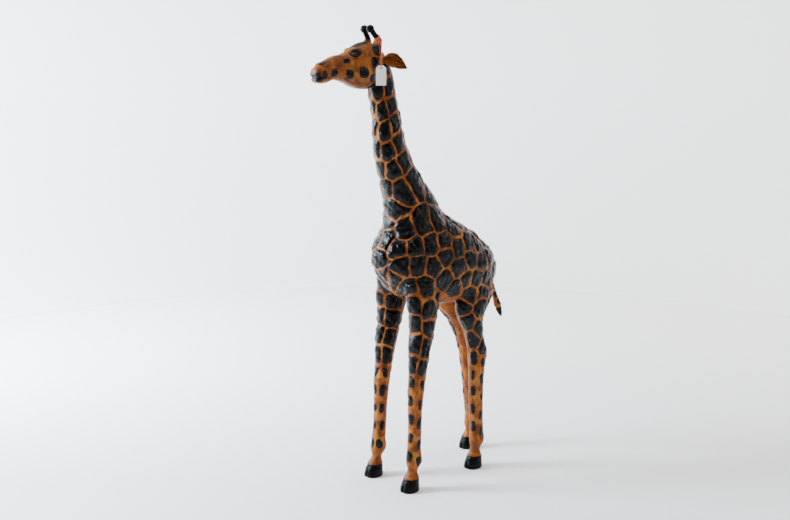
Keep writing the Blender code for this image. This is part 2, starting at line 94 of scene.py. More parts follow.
# Legs, as if standing square: height, x and y of the middle, half depth, half width
FRONT_LEG = (
    (0.043, 0.0965, -0.162, 0.0265, 0.0245),
    (0.068, 0.0955, -0.156, 0.0165, 0.0155),
    (0.095, 0.0945, -0.149, 0.0265, 0.0240),
    (0.130, 0.0935, -0.148, 0.0240, 0.0215),
    (0.190, 0.0920, -0.144, 0.0225, 0.0205),
    (0.272, 0.0905, -0.141, 0.0240, 0.0220),
    (0.333, 0.0895, -0.137, 0.0275, 0.0255),
    (0.393, 0.0880, -0.129, 0.0300, 0.0270),
    (0.473, 0.0860, -0.119, 0.0380, 0.0320),
    (0.552, 0.0830, -0.104, 0.0445, 0.0370),
    (0.620, 0.0790, -0.098, 0.0570, 0.0400),
    (0.690, 0.0680, -0.100, 0.0600, 0.0380),
)
HIND_LEG = (
    (0.043, 0.0880, 0.139, 0.0255, 0.0235),
    (0.066, 0.0870, 0.143, 0.0170, 0.0160),
    (0.092, 0.0865, 0.150, 0.0255, 0.0230),
    (0.130, 0.0855, 0.150, 0.0240, 0.0220),
    (0.200, 0.0840, 0.147, 0.0250, 0.0225),
    (0.291, 0.0825, 0.147, 0.0265, 0.0235),
    (0.377, 0.0810, 0.151, 0.0310, 0.0270),
    (0.412, 0.0800, 0.154, 0.0360, 0.0300),
    (0.455, 0.0795, 0.142, 0.0315, 0.0310),
    (0.490, 0.0790, 0.132, 0.0330, 0.0330),
    (0.550, 0.0775, 0.121, 0.0480, 0.0370),
    (0.580, 0.0760, 0.126, 0.0620, 0.0390),
    (0.615, 0.0740, 0.137, 0.0740, 0.0400),
    (0.660, 0.0680, 0.144, 0.0760, 0.0400),
    (0.700, 0.0600, 0.130, 0.0560, 0.0340),
)
HIP_HEIGHT, STANCE_POWER = 0.62, 2.2
# Stance of each leg: its rows, its side, then how far its hip and its hoof are shifted
STANCE = {
    "left_front": (FRONT_LEG, 1, (0.0, 0.0), (0.007, -0.006)),
    "right_front": (FRONT_LEG, -1, (0.0, 0.0), (0.019, -0.014)),
    "left_hind": (HIND_LEG, 1, (0.0, 0.0), (0.0, 0.0)),
    "right_hind": (HIND_LEG, -1, (0.0, 0.030), (0.024, 0.121)),
}
HORN_BASE = np.array([0.0315, -0.2225, 1.4400])
HORN_TOP = np.array([0.0120, -0.2695, 1.5035])
EYE_CENTRE = np.array([0.0320, -0.3330, 1.4165])
EAR_ROOT = np.array([0.0335, -0.2230, 1.4065])
EAR_TIP = np.array([0.1000, -0.1860, 1.3740])
TAIL_ROOT = np.array([0.0, 0.2795, 0.6680])
TAIL_SLOPE = 0.42
TAG_HOLE = np.array([0.0620, -0.2590, 1.3765])
TAG_TURN = math.radians(25)
STRING_DIAMETER = 0.0016
LOOP_UP_HORN, LOOP_RADIUS = 0.036, 0.0118
# Half width of an ear over its length
EAR_SHAPE = (
    (0.0, 0.0080),
    (0.06, 0.0140),
    (0.14, 0.0190),
    (0.28, 0.0216),
    (0.42, 0.0222),
    (0.60, 0.0190),
    (0.80, 0.0115),
    (1.0, 0.0009),
)
# The leather-covered stump that each horn stands on: height along it and radius
PEDICLE_TOP = 0.0285
PEDICLE = ((-0.030, 0.0190), (-0.010, 0.0178), (0.006, 0.0158), (0.018, 0.0132), (PEDICLE_TOP, 0.0110))
PEDICLE_LEAN = (-0.15, 0.42, 0.95)
# How round the trunk's ends are, and how square its section is: powers of superellipses
TRUNK_END, TRUNK_SQUARENESS = 2.7, 2.25
# The core of the hind thigh is a straight wedge, so the hide is fuller there than the smooth rows:
# height, reach up and down, and what is added to the half depth
THIGH_HEIGHT, THIGH_REACH, THIGH_SWELL = 0.552, 0.030, 0.0068
LEG_FOOT, LEG_TOP = 0.0432, 0.690
HOOF_HEIGHT = 0.046
TAIL_START, TAIL_END = -0.004, 0.146
TUFT_START, TUFT_LENGTH = 0.1425, 0.047
MANE_FOOT, MANE_TOP = 0.918, 1.372
# Studio: the floor's radius, then the wall's foot, the radius of its bend, its top and its half arc
FLOOR_RADIUS = 4.6
WALL_FOOT, WALL_BEND, WALL_TOP, WALL_HALF_ARC = 3.2, 1.3, 8.0, 1.25
WALL_FACING = math.radians(140)
CAMERA_PLACE = (2.4687, -2.1664, 1.34)
CAMERA_DOWN, CAMERA_TURN = math.radians(90 - 10.204), math.radians(50)


# ---------------------------------------------------------------- shapes as arrays


def smooth(rows, keys):
    """The rows' values at keys, their first column: a cubic between rows with the mean slope at each."""
    table = np.array(rows, float)
    place, values = table[:, 0], table[:, 1:]
    slope = np.gradient(values, place, axis=0)
    keys = np.asarray(keys, float)
    row = np.clip(np.searchsorted(place, keys, side="right") - 1, 0, len(place) - 2)
    span = (place[row + 1] - place[row])[:, None]
    t = (keys - place[row])[:, None] / span
    start = values[row] * (1 + 2 * t) + slope[row] * span * t
    end = values[row + 1] * (3 - 2 * t) + slope[row + 1] * span * (t - 1)
    return start * (1 - t) ** 2 + end * t**2


def outline(sides, power=2.0):
    """A superellipse of half axes 1: cos and sin of the angle, each raised to 2 / power."""
    angle = np.linspace(0, 2 * math.pi, sides, endpoint=False)
    wave = np.stack([np.cos(angle), np.sin(angle)], axis=1)
    return np.sign(wave) * np.abs(wave) ** (2 / power)


def unit(vector):
    """The vector, or each row of an array of them, at length 1."""
    return vector / np.linalg.norm(vector, axis=-1, keepdims=True)


def mirrored(point, side):
    """The point on the statue's left for side 1, and its mirror image for side -1."""
    return np.array([side * point[0], point[1], point[2]])


def step(low, high, value):
    """0 below low, 1 above high, and a smooth S between them."""
    t = np.clip((value - low) / (high - low), 0, 1)
    return t * t * (3 - 2 * t)


def bell(*away):
    """1 where every distance is 0, falling as exp of minus the sum of their squares."""
    return np.exp(-sum(distance**2 for distance in away))


def turned_back(angle):
    """The same angle between minus and plus half a turn."""
    return (angle + math.pi) % (2 * math.pi) - math.pi


def away_from_axis(points, start, axis):
    """Each point's direction straight out of the line through start along axis."""
    return unit(points - (start + ((points - start) @ axis)[:, None] * axis) + 1e-9)


def grid_quads(rows, columns, closed_rows, closed_columns):
    """Quads of a grid of points, which may close on itself along its rows and its columns."""
    row, column = np.meshgrid(
        np.arange(rows - (not closed_rows)), np.arange(columns - (not closed_columns)), indexing="ij"
    )
    ahead, beside = (row + 1) % rows, (column + 1) % columns
    corners = ((row, column), (row, beside), (ahead, beside), (ahead, column))
    return np.stack([a * columns + b for a, b in corners], axis=-1).reshape(-1, 4)


def loft_faces(count, sides):
    """Quads between count closed rings of sides points, and a fan to a pole at each end."""
    first = np.arange(sides)
    last = first + (count - 1) * sides
    pole = count * sides
    start = np.stack([np.roll(first, -1), first, np.full(sides, pole)], axis=1)
    end = np.stack([last, np.roll(last, -1), np.full(sides, pole + 1)], axis=1)
    return grid_quads(count, sides, False, True).tolist() + np.concatenate([start, end]).tolist()


def loft(rings):
    """Points and outward faces of the closed skin over rings, an array (rings, sides, 3)."""
    count, sides, _ = rings.shape
    points = np.concatenate([rings.reshape(-1, 3), rings[[0, -1]].mean(axis=1)])
    faces = loft_faces(count, sides)
    a, b, c = (points[[face[k] for face in faces]] for k in range(3))
    if ((a - points.mean(0)) * np.cross(b - a, c - a)).sum() < 0:
        faces = [face[::-1] for face in faces]
    return points, faces


def tube_rings(path, radii, sides):
    """Rings carried along a path: each is a circle of its own radius, square to the path's slope, with
    its first axis turned as little as possible from one ring to the next."""
    along = unit(np.gradient(path, axis=0))
    first = np.cross(along, [1.0, 0.0, 0.0])
    first = unit(np.where(np.linalg.norm(first, axis=1, keepdims=True) < 0.1, [0.0, 1.0, 0.0], first))
    second = np.cross(along, first)
    around = outline(sides)
    spokes = around[None, :, :1] * first[:, None] + around[None, :, 1:] * second[:, None]
    return path[:, None] + np.asarray(radii)[:, None, None] * spokes


def waves(points, size, seed, count=10):
    """Smooth irregular values of about -1 to 1: a sum of sine waves in seeded directions, whose
    wavelengths lie around size."""
    random = np.random.default_rng(seed)
    direction = unit(random.normal(size=(count, 3)))
    length = size * random.uniform(0.7, 1.5, count)
    phase = random.uniform(0, 2 * math.pi, count)
    return np.sin(points @ (direction * 2 * math.pi / length[:, None]).T + phase).sum(1) / math.sqrt(count)


def new_piece(name, points, faces, body, material, replaced=(), angle=50):
    """A finished mesh object at the origin, riding on a body and standing for CAD nodes."""
    mesh = bpy.data.meshes.new(name)
    faces = faces.tolist() if isinstance(faces, np.ndarray) else faces
    mesh.from_pydata((points + SHIFT).tolist(), [], faces)
    mesh.update()
    mesh.shade_smooth()
    if angle:
        mesh.set_sharp_from_angle(angle=math.radians(angle))
    mesh.materials.append(material)
    piece = bpy.data.objects.new(name, mesh)
    bpy.context.scene.collection.objects.link(piece)
    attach(piece, body)
    if replaced:
        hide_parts(*replaced)
    return piece


def paint(mesh, name, values):
    """Keeps one number per vertex, for a material to read."""
    layer = mesh.attributes.new(name, "FLOAT", "POINT")
    layer.data.foreach_set("value", np.asarray(values, np.float32))


# ---------------------------------------------------------------- materials


def colour(hex_value):
    """An sRGB hex colour as linear red, green, blue and alpha."""
    channels = [int(hex_value[i : i + 2], 16) / 255 for i in (0, 2, 4)]
    return (*[((c + 0.055) / 1.055) ** 2.4 if c > 0.04045 else c / 12.92 for c in channels], 1.0)


def add(tree, kind, settings=None, links=None):
    """One node with its settings and its input links. A key of settings is a property's name or an
    input's name or number; a key of links is an input, its value an output."""
    node = tree.nodes.new("ShaderNode" + kind)
    for key, value in (settings or {}).items():
        if isinstance(key, str) and hasattr(node, key):
            setattr(node, key, value)
        else:
            node.inputs[key].default_value = value
    for key, source in (links or {}).items():
        tree.links.new(source, node.inputs[key])
    return node


def start_material(name):
    """A new node material, its tree and its shader."""
    material = bpy.data.materials.new(name)
    material.use_nodes = True
    tree = material.node_tree
    return material, tree, tree.nodes["Principled BSDF"]


def ramp(tree, source, low, high, first=0.0, last=1.0):
    """A number carried smoothly from first to last while the source goes from low to high."""
    made = add(
        tree,
        "MapRange",
        {"interpolation_type": "SMOOTHSTEP", 1: low, 2: high, 3: first, 4: last},
        {0: source},
    )
    return made.outputs[0]


def blend_colour(tree, share, first, second):
    """Mixes two colours, each an output or a hex value, by a share from 0 to 1."""
    node = add(tree, "Mix", {"data_type": "RGBA"}, {0: share})
    for socket, value in ((6, first), (7, second)):
        if isinstance(value, str):
            node.inputs[socket].default_value = colour(value)
        else:
            tree.links.new(value, node.inputs[socket])
    return node.outputs[2]


def patterned(name, kind, pattern, share, colours, sockets, relief=None, stretch=None):
    """A material whose colour runs between two over one pattern, with values on the shader's own
    sockets and, where relief gives a strength and a depth, a bump from the same pattern."""
    material, tree, surface = start_material(name)
    place = add(tree, "TexCoord").outputs["Object"]
    if stretch:
        place = add(tree, "Mapping", {"Scale": stretch}, {"Vector": place}).outputs[0]
    figure = add(tree, kind, pattern, {"Vector": place}).outputs["Fac"]
    mixed = blend_colour(tree, ramp(tree, figure, *share), *colours)
    tree.links.new(mixed, surface.inputs["Base Color"])
    for socket, value in sockets.items():
        surface.inputs[socket].default_value = value
    if relief:
        bump = add(tree, "Bump", {"Strength": relief[0], "Distance": relief[1]}, {"Height": figure})
        tree.links.new(bump.outputs[0], surface.inputs["Normal"])
    return material


def made_once(name, maker, *settings):
    """The material of that name, which maker makes the first time it is asked for."""
    return bpy.data.materials.get(name) or maker(name, *settings)


def painted_leather(name):
    """Goat leather glued over wood, stained orange-brown and painted with black patches, then waxed:
    fine grain and creases, with painted shade that makes the folds darker, paint with a soft sheen whose
    blue-grey on the raised creases is partly wear and partly painted sheen, and worn edges.
    The attribute patch is the distance inside a black patch in millimetres, negative outside it;
    shade darkens marks painted by hand and adds painted shade on the face and at the ears' roots;
    wear is where a raised place is worn paler."""
    material, tree, surface = start_material(name)
    place = add(tree, "TexCoord").outputs["Object"]
    # grain of pebbles about 1.6 mm across, creases 7 mm apart, and cloudy stains of 40 mm
    grain = add(tree, "TexVoronoi", {"feature": "SMOOTH_F1", "Scale": 620.0}, {"Vector": place})
    crease = add(tree, "TexNoise", {"Scale": 140.0, "Detail": 5.0, "Roughness": 0.62}, {"Vector": place})
    stain = add(tree, "TexNoise", {"Scale": 26.0, "Detail": 4.0, "Roughness": 0.6}, {"Vector": place})
    patch = add(tree, "Attribute", {"attribute_name": "patch"}).outputs["Fac"]
    shade = add(tree, "Attribute", {"attribute_name": "shade"}).outputs["Fac"]
    wear = add(tree, "Attribute", {"attribute_name": "wear"}).outputs["Fac"]
    # the brush's edge wanders by about half a millimetre
    wander = add(tree, "Math", {"operation": "MULTIPLY_ADD", 1: 2.2, 2: -1.1}, {0: crease.outputs["Fac"]})
    edge = add(tree, "Math", {"operation": "ADD"}, {0: patch, 1: wander.outputs[0]}).outputs[0]
    black = ramp(tree, edge, -0.35, 0.45)

    tan = blend_colour(tree, ramp(tree, stain.outputs["Fac"], 0.36, 0.68), "6A3410", "9C5717")
    # painted shade: the tan is darker where the crease noise is low, in the bottoms of the folds
    tan = blend_colour(tree, ramp(tree, crease.outputs["Fac"], 0.36, 0.52, 0.60, 0.0), tan, "451B06")
    tan = blend_colour(tree, ramp(tree, wear, 0.2, 1.0, 0.0, 0.45), tan, "B87A32")
    smudge = ramp(tree, edge, -2.6, 0.0, 0.0, 0.5)
    tan = blend_colour(tree, smudge, tan, "3E1905")
    ink = blend_colour(tree, ramp(tree, stain.outputs["Fac"], 0.40, 0.72), "010101", "050506")
    # blue-grey on the black where the crease noise is high, on the raised creases: partly wear, partly
    # painted sheen
    worn_and_sheen = ramp(tree, crease.outputs["Fac"], 0.62, 0.76, 0.0, 0.22)
    ink = blend_colour(tree, worn_and_sheen, ink, "111315")
    base = blend_colour(tree, black, tan, ink)
    # shade: black for marks painted by hand, and painted shade under the eyes, along the cheeks, under the
    # jaw and at the ears' roots; the muzzle's end is darker as well
    base = blend_colour(tree, ramp(tree, shade, 0.0, 1.0), base, "0B0807")
    tree.links.new(base, surface.inputs["Base Color"])

    rough = add(tree, "Mix", {"data_type": "FLOAT", 2: 0.48, 3: 0.27}, {0: black}).outputs[0]
    uneven = add(tree, "Math", {"operation": "MULTIPLY_ADD", 1: 0.22}, {0: stain.outputs["Fac"], 2: rough})
    low = add(tree, "Math", {"operation": "SUBTRACT", 1: 0.10}, {0: uneven.outputs[0]})
    tree.links.new(low.outputs[0], surface.inputs["Roughness"])
    surface.inputs["Specular IOR Level"].default_value = 0.17
    pebbles = add(
        tree, "Bump", {"Strength": 0.16, "Distance": 0.0004}, {"Height": grain.outputs["Distance"]}
    )
    folds = add(
        tree,
        "Bump",
        {"Strength": 0.45, "Distance": 0.0016},
        {"Height": crease.outputs["Fac"], "Normal": pebbles.outputs[0]},
    )
    # glued leather puckers in folds about 15 mm apart
    pucker = add(tree, "TexNoise", {"Scale": 62.0, "Detail": 2.0, "Distortion": 0.8}, {"Vector": place})
    ridge = add(tree, "Math", {"operation": "PINGPONG", 1: 0.08}, {0: pucker.outputs["Fac"]})
    puckers = add(
        tree,
        "Bump",
        {"Strength": 0.3, "Distance": 0.010},
        {"Height": ridge.outputs[0], "Normal": folds.outputs[0]},
    )
    tree.links.new(puckers.outputs[0], surface.inputs["Normal"])
    return material


def black_paint(name, hex_dark, hex_light, roughness, grain_scale):
    """Black paint brushed on wood or leather: nearly even, with faint grey rubbing and brush drag."""
    material, tree, surface = start_material(name)
    place = add(tree, "TexCoord").outputs["Object"]
    # drag marks of the brush, about 5 mm long
    drag = add(tree, "TexNoise", {"Scale": grain_scale, "Detail": 4.0, "Roughness": 0.6}, {"Vector": place})
    cloud = add(tree, "TexNoise", {"Scale": 45.0, "Detail": 3.0}, {"Vector": place})
    both = add(tree, "Math", {"operation": "MULTIPLY"}, {0: drag.outputs["Fac"], 1: cloud.outputs["Fac"]})
    share = ramp(tree, both.outputs[0], 0.20, 0.42)
    tree.links.new(blend_colour(tree, share, hex_dark, hex_light), surface.inputs["Base Color"])
    uneven = ramp(tree, drag.outputs["Fac"], 0.3, 0.7, roughness - 0.08, roughness + 0.10)
    tree.links.new(uneven, surface.inputs["Roughness"])
    surface.inputs["Specular IOR Level"].default_value = 0.12
    bump = add(tree, "Bump", {"Strength": 0.35, "Distance": 0.0008}, {"Height": drag.outputs["Fac"]})
    tree.links.new(bump.outputs[0], surface.inputs["Normal"])
    return material


def raw_wood():
    """Light softwood, carved and left raw: straight grain 3 mm apart along the piece."""
    grain = {"Scale": 160.0, "Detail": 4.0, "Distortion": 0.4}
    along = (1.0, 1.0, 0.12)
    hues = ("8F6437", "C29A66")
    sockets = {"Roughness": 0.72}
    return patterned(
        "raw carved softwood", "TexNoise", grain, (0.35, 0.65), hues, sockets, (0.3, 0.0005), along
    )


def eye_glass(name):
    """Blown black glass, polished: almost black, with a clear reflection and a brown depth."""
    depth = {"Scale": 320.0, "Detail": 2.0}
    sockets = {"Roughness": 0.30, "IOR": 1.45, "Specular IOR Level": 0.25}
    return patterned(name, "TexNoise", depth, (0.4, 0.7), ("040303", "150A05"), sockets)


def card_stock():
    """Uncoated white card: faint fibres half a millimetre long, matte."""
    fibre = {"Scale": 900.0, "Detail": 3.0}
    hues = ("F6F5F2", "FDFDFC")
    sockets = {"Roughness": 0.75}
    return patterned("uncoated white card", "TexNoise", fibre, (0.3, 0.7), hues, sockets, (0.2, 0.0002))


def twisted_cotton():
    """Red cotton twine: plies that wind once in 4 mm, matte and slightly fuzzy, with painted shade darker in
    the grooves between the plies.
    """
    plies = {"Scale": 160.0, "Distortion": 1.5, "bands_direction": "DIAGONAL"}
    # painted shade: the dark red falls where the wave is low, in the grooves that the same wave's bump sinks
    hues = ("8E1E12", "E0502A")
    sockets = {"Roughness": 0.9, "Sheen Weight": 0.4}
    return patterned("twisted red cotton", "TexWave", plies, (0.1, 0.8), hues, sockets, (0.6, 0.0004))


def iron_wire():
    """Drawn iron wire: grey, with fine streaks from the die."""
    streak = {"Scale": 500.0, "Detail": 2.0}
    sockets = {"Metallic": 1.0, "Roughness": 0.4}
    return patterned("drawn iron wire", "TexNoise", streak, (0.3, 0.7), ("5A5A5A", "8A8A88"), sockets)


def studio_paper():
    """Seamless background paper: matte and nearly even."""
    cloud = {"Scale": 0.8, "Detail": 2.0}
    share = (0.3, 0.7, 0.0, 0.04)
    return patterned(
        "seamless white paper", "TexNoise", cloud, share, ("E9E8E8", "FFFFFF"), {"Roughness": 0.85}
    )


def leather():
    """The painted leather of hide, ears and tail."""
    return made_once("stained goat leather with painted patches", painted_leather)


def horn_black():
    """The paint of horns and hooves, with brush drag about 5 mm long."""
    return made_once("brushed black paint on wood", black_paint, "010101", "060606", 0.38, 180.0)


def strip_black():
    """The dull black leather of mane and tuft, with finer grain."""
    return made_once("black leather strip", black_paint, "070606", "1E1B19", 0.6, 420.0)


# ---------------------------------------------------------------- the leather hide


def round_rings(rows, front_power, back_power, squareness, sides, count):
    """Rings of a long body closed by round ends: each ring's half sizes are the rows' values times a
    superellipse over the length, and squareness is the power of the rings themselves."""
    start, end = rows[0][0], rows[-1][0]
    along = -np.cos(np.linspace(0.06, math.pi - 0.06, count))
    y = (start + end) / 2 + (end - start) / 2 * along
    power = np.where(along < 0, front_power, back_power)
    swell = (1 - np.abs(along) ** power) ** (1 / power)
    top, bottom, half_width = smooth(rows, y).T
    around = outline(sides, squareness)
    x = (half_width * swell)[:, None] * around[:, 0]
    z = ((top + bottom) / 2)[:, None] + ((top - bottom) / 2 * swell)[:, None] * around[:, 1]
    return np.stack([x, np.broadcast_to(y[:, None], x.shape), z], axis=-1)


def column_rings(heights, middle_x, middle_y, half_depth, half_width, sides, power=2.1):
    """Level rings at the heights, each a rounded outline about its own middle."""
    around = outline(sides, power)
    x = middle_x[:, None] + half_width[:, None] * around[:, 0]
    y = middle_y[:, None] + half_depth[:, None] * around[:, 1]
    return np.stack([x, y, np.broadcast_to(heights[:, None], x.shape)], axis=-1)


def stance_rows(rows, side, hip, hoof):
    """A leg's rows moved into its stance: the hoof's share is 1 on the floor and 0 at the hip."""
    table = np.array(rows)
    table[:, 1] *= side
    weight = 1 - np.clip(table[:, :1] / HIP_HEIGHT, 0, 1) ** STANCE_POWER
    table[:, 1:3] += np.array(hip) * (1 - weight) + np.array(hoof) * weight
    return table


def hide_lofts():
    """The overlapping closed skins of trunk, neck, head and legs, before they are made one."""
    skins = [round_rings(TRUNK, TRUNK_END, TRUNK_END, TRUNK_SQUARENESS, 96, 90)]
    skins.append(round_rings(HEAD, 4.5, 2.5, 2.6, 72, 90))
    heights = np.linspace(NECK[0][0], NECK[-1][0], 130)
    middle, depth, width = smooth(NECK, heights).T
    skins.append(column_rings(heights, np.zeros(130), middle, depth, width, 80))
    for stance in STANCE.values():
        rows = stance_rows(*stance)
        heights = np.linspace(LEG_FOOT, LEG_TOP, 150)
        x, y, depth, width = smooth(rows, heights).T
        if stance[0] is HIND_LEG:
            depth = depth + THIGH_SWELL * bell((heights - THIGH_HEIGHT) / THIGH_REACH)
        skins.append(column_rings(heights, x, y, depth, width, 56))
    for side in (1, -1):
        base, top = mirrored(HORN_BASE, side), mirrored(HORN_TOP, side)
        along = np.linspace(PEDICLE[0][0], PEDICLE_TOP, 34)
        radius = smooth(PEDICLE, along)[:, 0]
        path = base + PEDICLE_TOP * unit(top - base)
        path = path + (along - PEDICLE_TOP)[:, None] * mirrored(PEDICLE_LEAN, side)
        skins.append(tube_rings(path, radius, 40))
    return skins


def one_skin(skins, voxel):
    """Joins overlapping closed skins into one even mesh, and returns its points and quads."""
    points, faces, offset = [], [], 0
    for rings in skins:
        part_points, part_faces = loft(rings)
        points.append(part_points)
        faces += [[i + offset for i in face] for face in part_faces]
        offset += len(part_points)
    mesh = bpy.data.meshes.new("skin")
    mesh.from_pydata(np.concatenate(points).tolist(), [], faces)
    made = bpy.data.objects.new("skin", mesh)
    bpy.context.scene.collection.objects.link(made)
    remesh = made.modifiers.new("even", "REMESH")
    remesh.mode = "VOXEL"
    remesh.voxel_size = voxel
    remesh.adaptivity = 0.0
    whole = made.evaluated_get(bpy.context.evaluated_depsgraph_get()).to_mesh()
    joined = np.empty(len(whole.vertices) * 3, np.float32)
    whole.vertices.foreach_get("co", joined)
    loops = np.empty(len(whole.loops), np.int32)
    whole.loops.foreach_get("vertex_index", loops)
    made.to_mesh_clear()
    bpy.data.objects.remove(made)
    bpy.data.meshes.remove(mesh)
    return joined.reshape(-1, 3).astype(float), loops.reshape(-1, 4)


def neighbours_of(quads):
    """The pairs of points that the quads' edges join."""
    return np.concatenate([quads[:, [0, 1]], quads[:, [1, 2]], quads[:, [2, 3]], quads[:, [3, 0]]])


def pull(points, pairs):
    """The way from each point to the mean of its neighbours."""
    first, second = pairs.T
    size = len(points)
    total = np.empty_like(points)
    for axis in range(3):
        ahead = np.bincount(first, points[second, axis], size)
        total[:, axis] = ahead + np.bincount(second, points[first, axis], size)
    count = np.bincount(first, minlength=size) + np.bincount(second, minlength=size)
    return total / count[:, None] - points


def relaxed(points, quads, passes):
    """Moves each point half way to the mean of its neighbours, then back a little more, in turn, so
    that steps vanish and the size stays."""
    pairs = neighbours_of(quads)
    for number in range(passes):
        share = 0.5 if number % 2 == 0 else -0.53
        points = points + share * pull(points, pairs)
    return points


def melted(points, quads, passes, strength):
    """Moves each point towards the mean of its neighbours, which fills a hollow corner, then takes back
    whatever part of its way led inwards along its first normal, so nothing gets thinner."""
    start, outwards = points, normals_of(points, quads)
    pairs = neighbours_of(quads)
    for _ in range(passes):
        points = points + strength[:, None] * pull(points, pairs)
    inwards = np.minimum(((points - start) * outwards).sum(axis=1), 0)
    return points - inwards[:, None] * outwards


def normals_of(points, quads):
    """Each point's normal: the sum of the cross products of its quads' diagonals."""
    face = np.cross(points[quads[:, 2]] - points[quads[:, 0]], points[quads[:, 3]] - points[quads[:, 1]])
    total = np.zeros_like(points)
    for corner in range(4):
        for axis in range(3):
            total[:, axis] += np.bincount(quads[:, corner], face[:, axis], len(points))
    return unit(total + 1e-12)


# ---- where the black patches are


def hash_pair(a, b, seed):
    """Two repeatable numbers from -1 to 1 for a pair of whole numbers."""
    wave = np.sin(np.array([12.9898, 78.233]) * (a + 1.7) + np.array([39.425, 4.1414]) * (b + 2.3) + seed)
    return 2 * ((wave * 43758.5453) % 1.0) - 1


# Columns of patches on the neck: turn from the throat in degrees at the top and below, height of
# the first patch, distance between rows, half width over the neck's radius, number of patches
NECK_COLUMNS = (
    (0, 0, 1.257, 0.0650, 0.40, 6),
    (25, 45, 1.300, 0.0612, 0.42, 6),
    (101, 97, 1.3845, 0.0604, 0.44, 7),
    (150, 148, 1.290, 0.0620, 0.34, 6),
)
# Patches on the flank: y and height of the middle of each, to the nearest 5 mm
FLANK = (
    (-0.155, 0.860), (-0.100, 0.875), (-0.040, 0.880), (0.020, 0.860),
    (-0.185, 0.815), (-0.145, 0.815), (-0.085, 0.820), (-0.035, 0.825), (0.020, 0.800), (0.070, 0.810),
    (-0.180, 0.750), (-0.135, 0.750), (-0.080, 0.745), (-0.040, 0.775), (0.020, 0.730), (0.080, 0.755),
    (0.130, 0.740), (0.120, 0.795), (-0.190, 0.705), (-0.150, 0.680), (-0.105, 0.680), (-0.035, 0.695),
    (0.020, 0.660), (0.055, 0.680), (0.105, 0.685), (0.165, 0.680), (-0.060, 0.635), (0.085, 0.635),
    (0.140, 0.630), (0.180, 0.740), (0.180, 0.800), (0.215, 0.690), (0.220, 0.630), (0.190, 0.590),
)


def neck_patches():
    """Seeds on the neck: columns at fixed turns from the throat round both sides, rows one above the
    other. A seed is a place, a half width, a half height and a reach."""
    seeds = []
    for column, (high_turn, turn, top, pitch, width_share, count) in enumerate(NECK_COLUMNS):
        for row in range(count):
            jitter = hash_pair(row, column, 0.3)
            z = top - row * pitch + 0.004 * jitter[0]
            middle, depth, width = smooth(NECK, [z])[0]
            share = float(step(1.19, 1.30, np.array(z)))
            angle = math.radians(turn + (high_turn - turn) * share + 3 * jitter[1])
            half = 0.5 * (depth + width) * width_share
            for side in (1, -1) if turn else (1,):
                place = (side * width * math.sin(angle), middle - depth * math.cos(angle), z)
                seeds.append((*place, half, pitch * 0.5, 1.05 if z > 1.35 else 3.0))
    return seeds


def trunk_patches():
    """Seeds on the trunk: those of the flank on both sides, slightly moved on the right, then the
    chest, the line of the back and the rump."""
    seeds = []
    half = 0.030
    for number, (y, z) in enumerate(FLANK):
        jitter = 0.006 * hash_pair(number, 5, 2.0)
        for side in (1, -1):
            place = on_trunk(side, y + (jitter[0] if side < 0 else 0), z + (jitter[1] if side < 0 else 0))
            if place is not None:
                seeds.append((*place, half, half, 3.0))
    for row in range(5):
        z = 0.645 + row * 0.062
        front = -0.218 if z < 0.83 else -0.190 + 0.5 * (z - 0.83)
        x = 0.014 if row % 2 else -0.012
        seeds.append((x, front + 2.2 * x * x, z, half, half, 3.0))
    for column in range(5):
        y = 0.045 + column * 0.056
        top = smooth(TRUNK, [min(y, 0.262)])[0][0]
        for x in (-0.034, 0.030) if column % 2 else (-0.060, 0.0, 0.062):
            seeds.append((x, y, top - 7.0 * x * x, half, half, 3.0))
    for x, z in ((0.0, 0.735), (0.045, 0.700), (-0.045, 0.690), (0.050, 0.640), (-0.052, 0.632)):
        seeds.append((x, 0.282 - 4.0 * x * x, z, half, half, 3.0))
    return seeds


def on_trunk(side, y, z):
    """The point of the trunk's or the neck's skin at that side, length and height, or None where the
    place lies above the back or below the flank."""
    best = None
    if TRUNK[0][0] + 0.01 < y < TRUNK[-1][0] - 0.004:
        top, bottom, half = smooth(TRUNK, [y])[0]
        along = (y - (TRUNK[0][0] + TRUNK[-1][0]) / 2) / ((TRUNK[-1][0] - TRUNK[0][0]) / 2)
        swell = (1 - abs(along) ** TRUNK_END) ** (1 / TRUNK_END)
        level = (z - (top + bottom) / 2) / ((top - bottom) / 2 * swell)
        if abs(level) < 0.93:
            best = half * swell * (1 - abs(level) ** TRUNK_SQUARENESS) ** (1 / TRUNK_SQUARENESS)
    if z > NECK[0][0]:
        middle, depth, half = smooth(NECK, [z])[0]
        if abs(y - middle) < 0.95 * depth and z < 0.96:
            width = half * math.sqrt(1 - ((y - middle) / depth) ** 2)
            best = max(best or 0.0, width)
    return None if best is None else (side * best, y, z)


def leg_patches(name):
    """Seeds on one leg: columns round its front, outer side and back, 62 mm from row to row. They are
    rounded blocks near the body and narrow to leaf shapes above the ankle."""
    rows = stance_rows(*STANCE[name])
    side = STANCE[name][1]
    seeds = []
    fore = "front" in name
    for column, turn in enumerate((8, 94, 176, -70) if fore else (22, 106, 180)):
        z = (0.624 if fore else 0.590) - (0.0, 0.020, 0.008, 0.012)[column]
        number = 0
        while z > 0.098:
            x, y, depth, width = smooth(rows, [z])[0]
            jitter = hash_pair(number, column, 3.0 + side + 2 * len(name))
            angle = math.radians(turn + 7 * jitter[0])
            share = float(step(0.34, 0.50, np.array(z)))
            half_width = (0.0102 + 0.0136 * share) * (1 + 0.10 * jitter[1])
            half_height = 0.0172 + 0.0138 * share
            place = (x + side * width * math.sin(angle), y - depth * math.cos(angle), z)
            seeds.append((*place, half_width, half_height, 1.0 + 0.45 * share))
            z -= 0.062 + 0.003 * jitter[0]
            number += 1
    return seeds


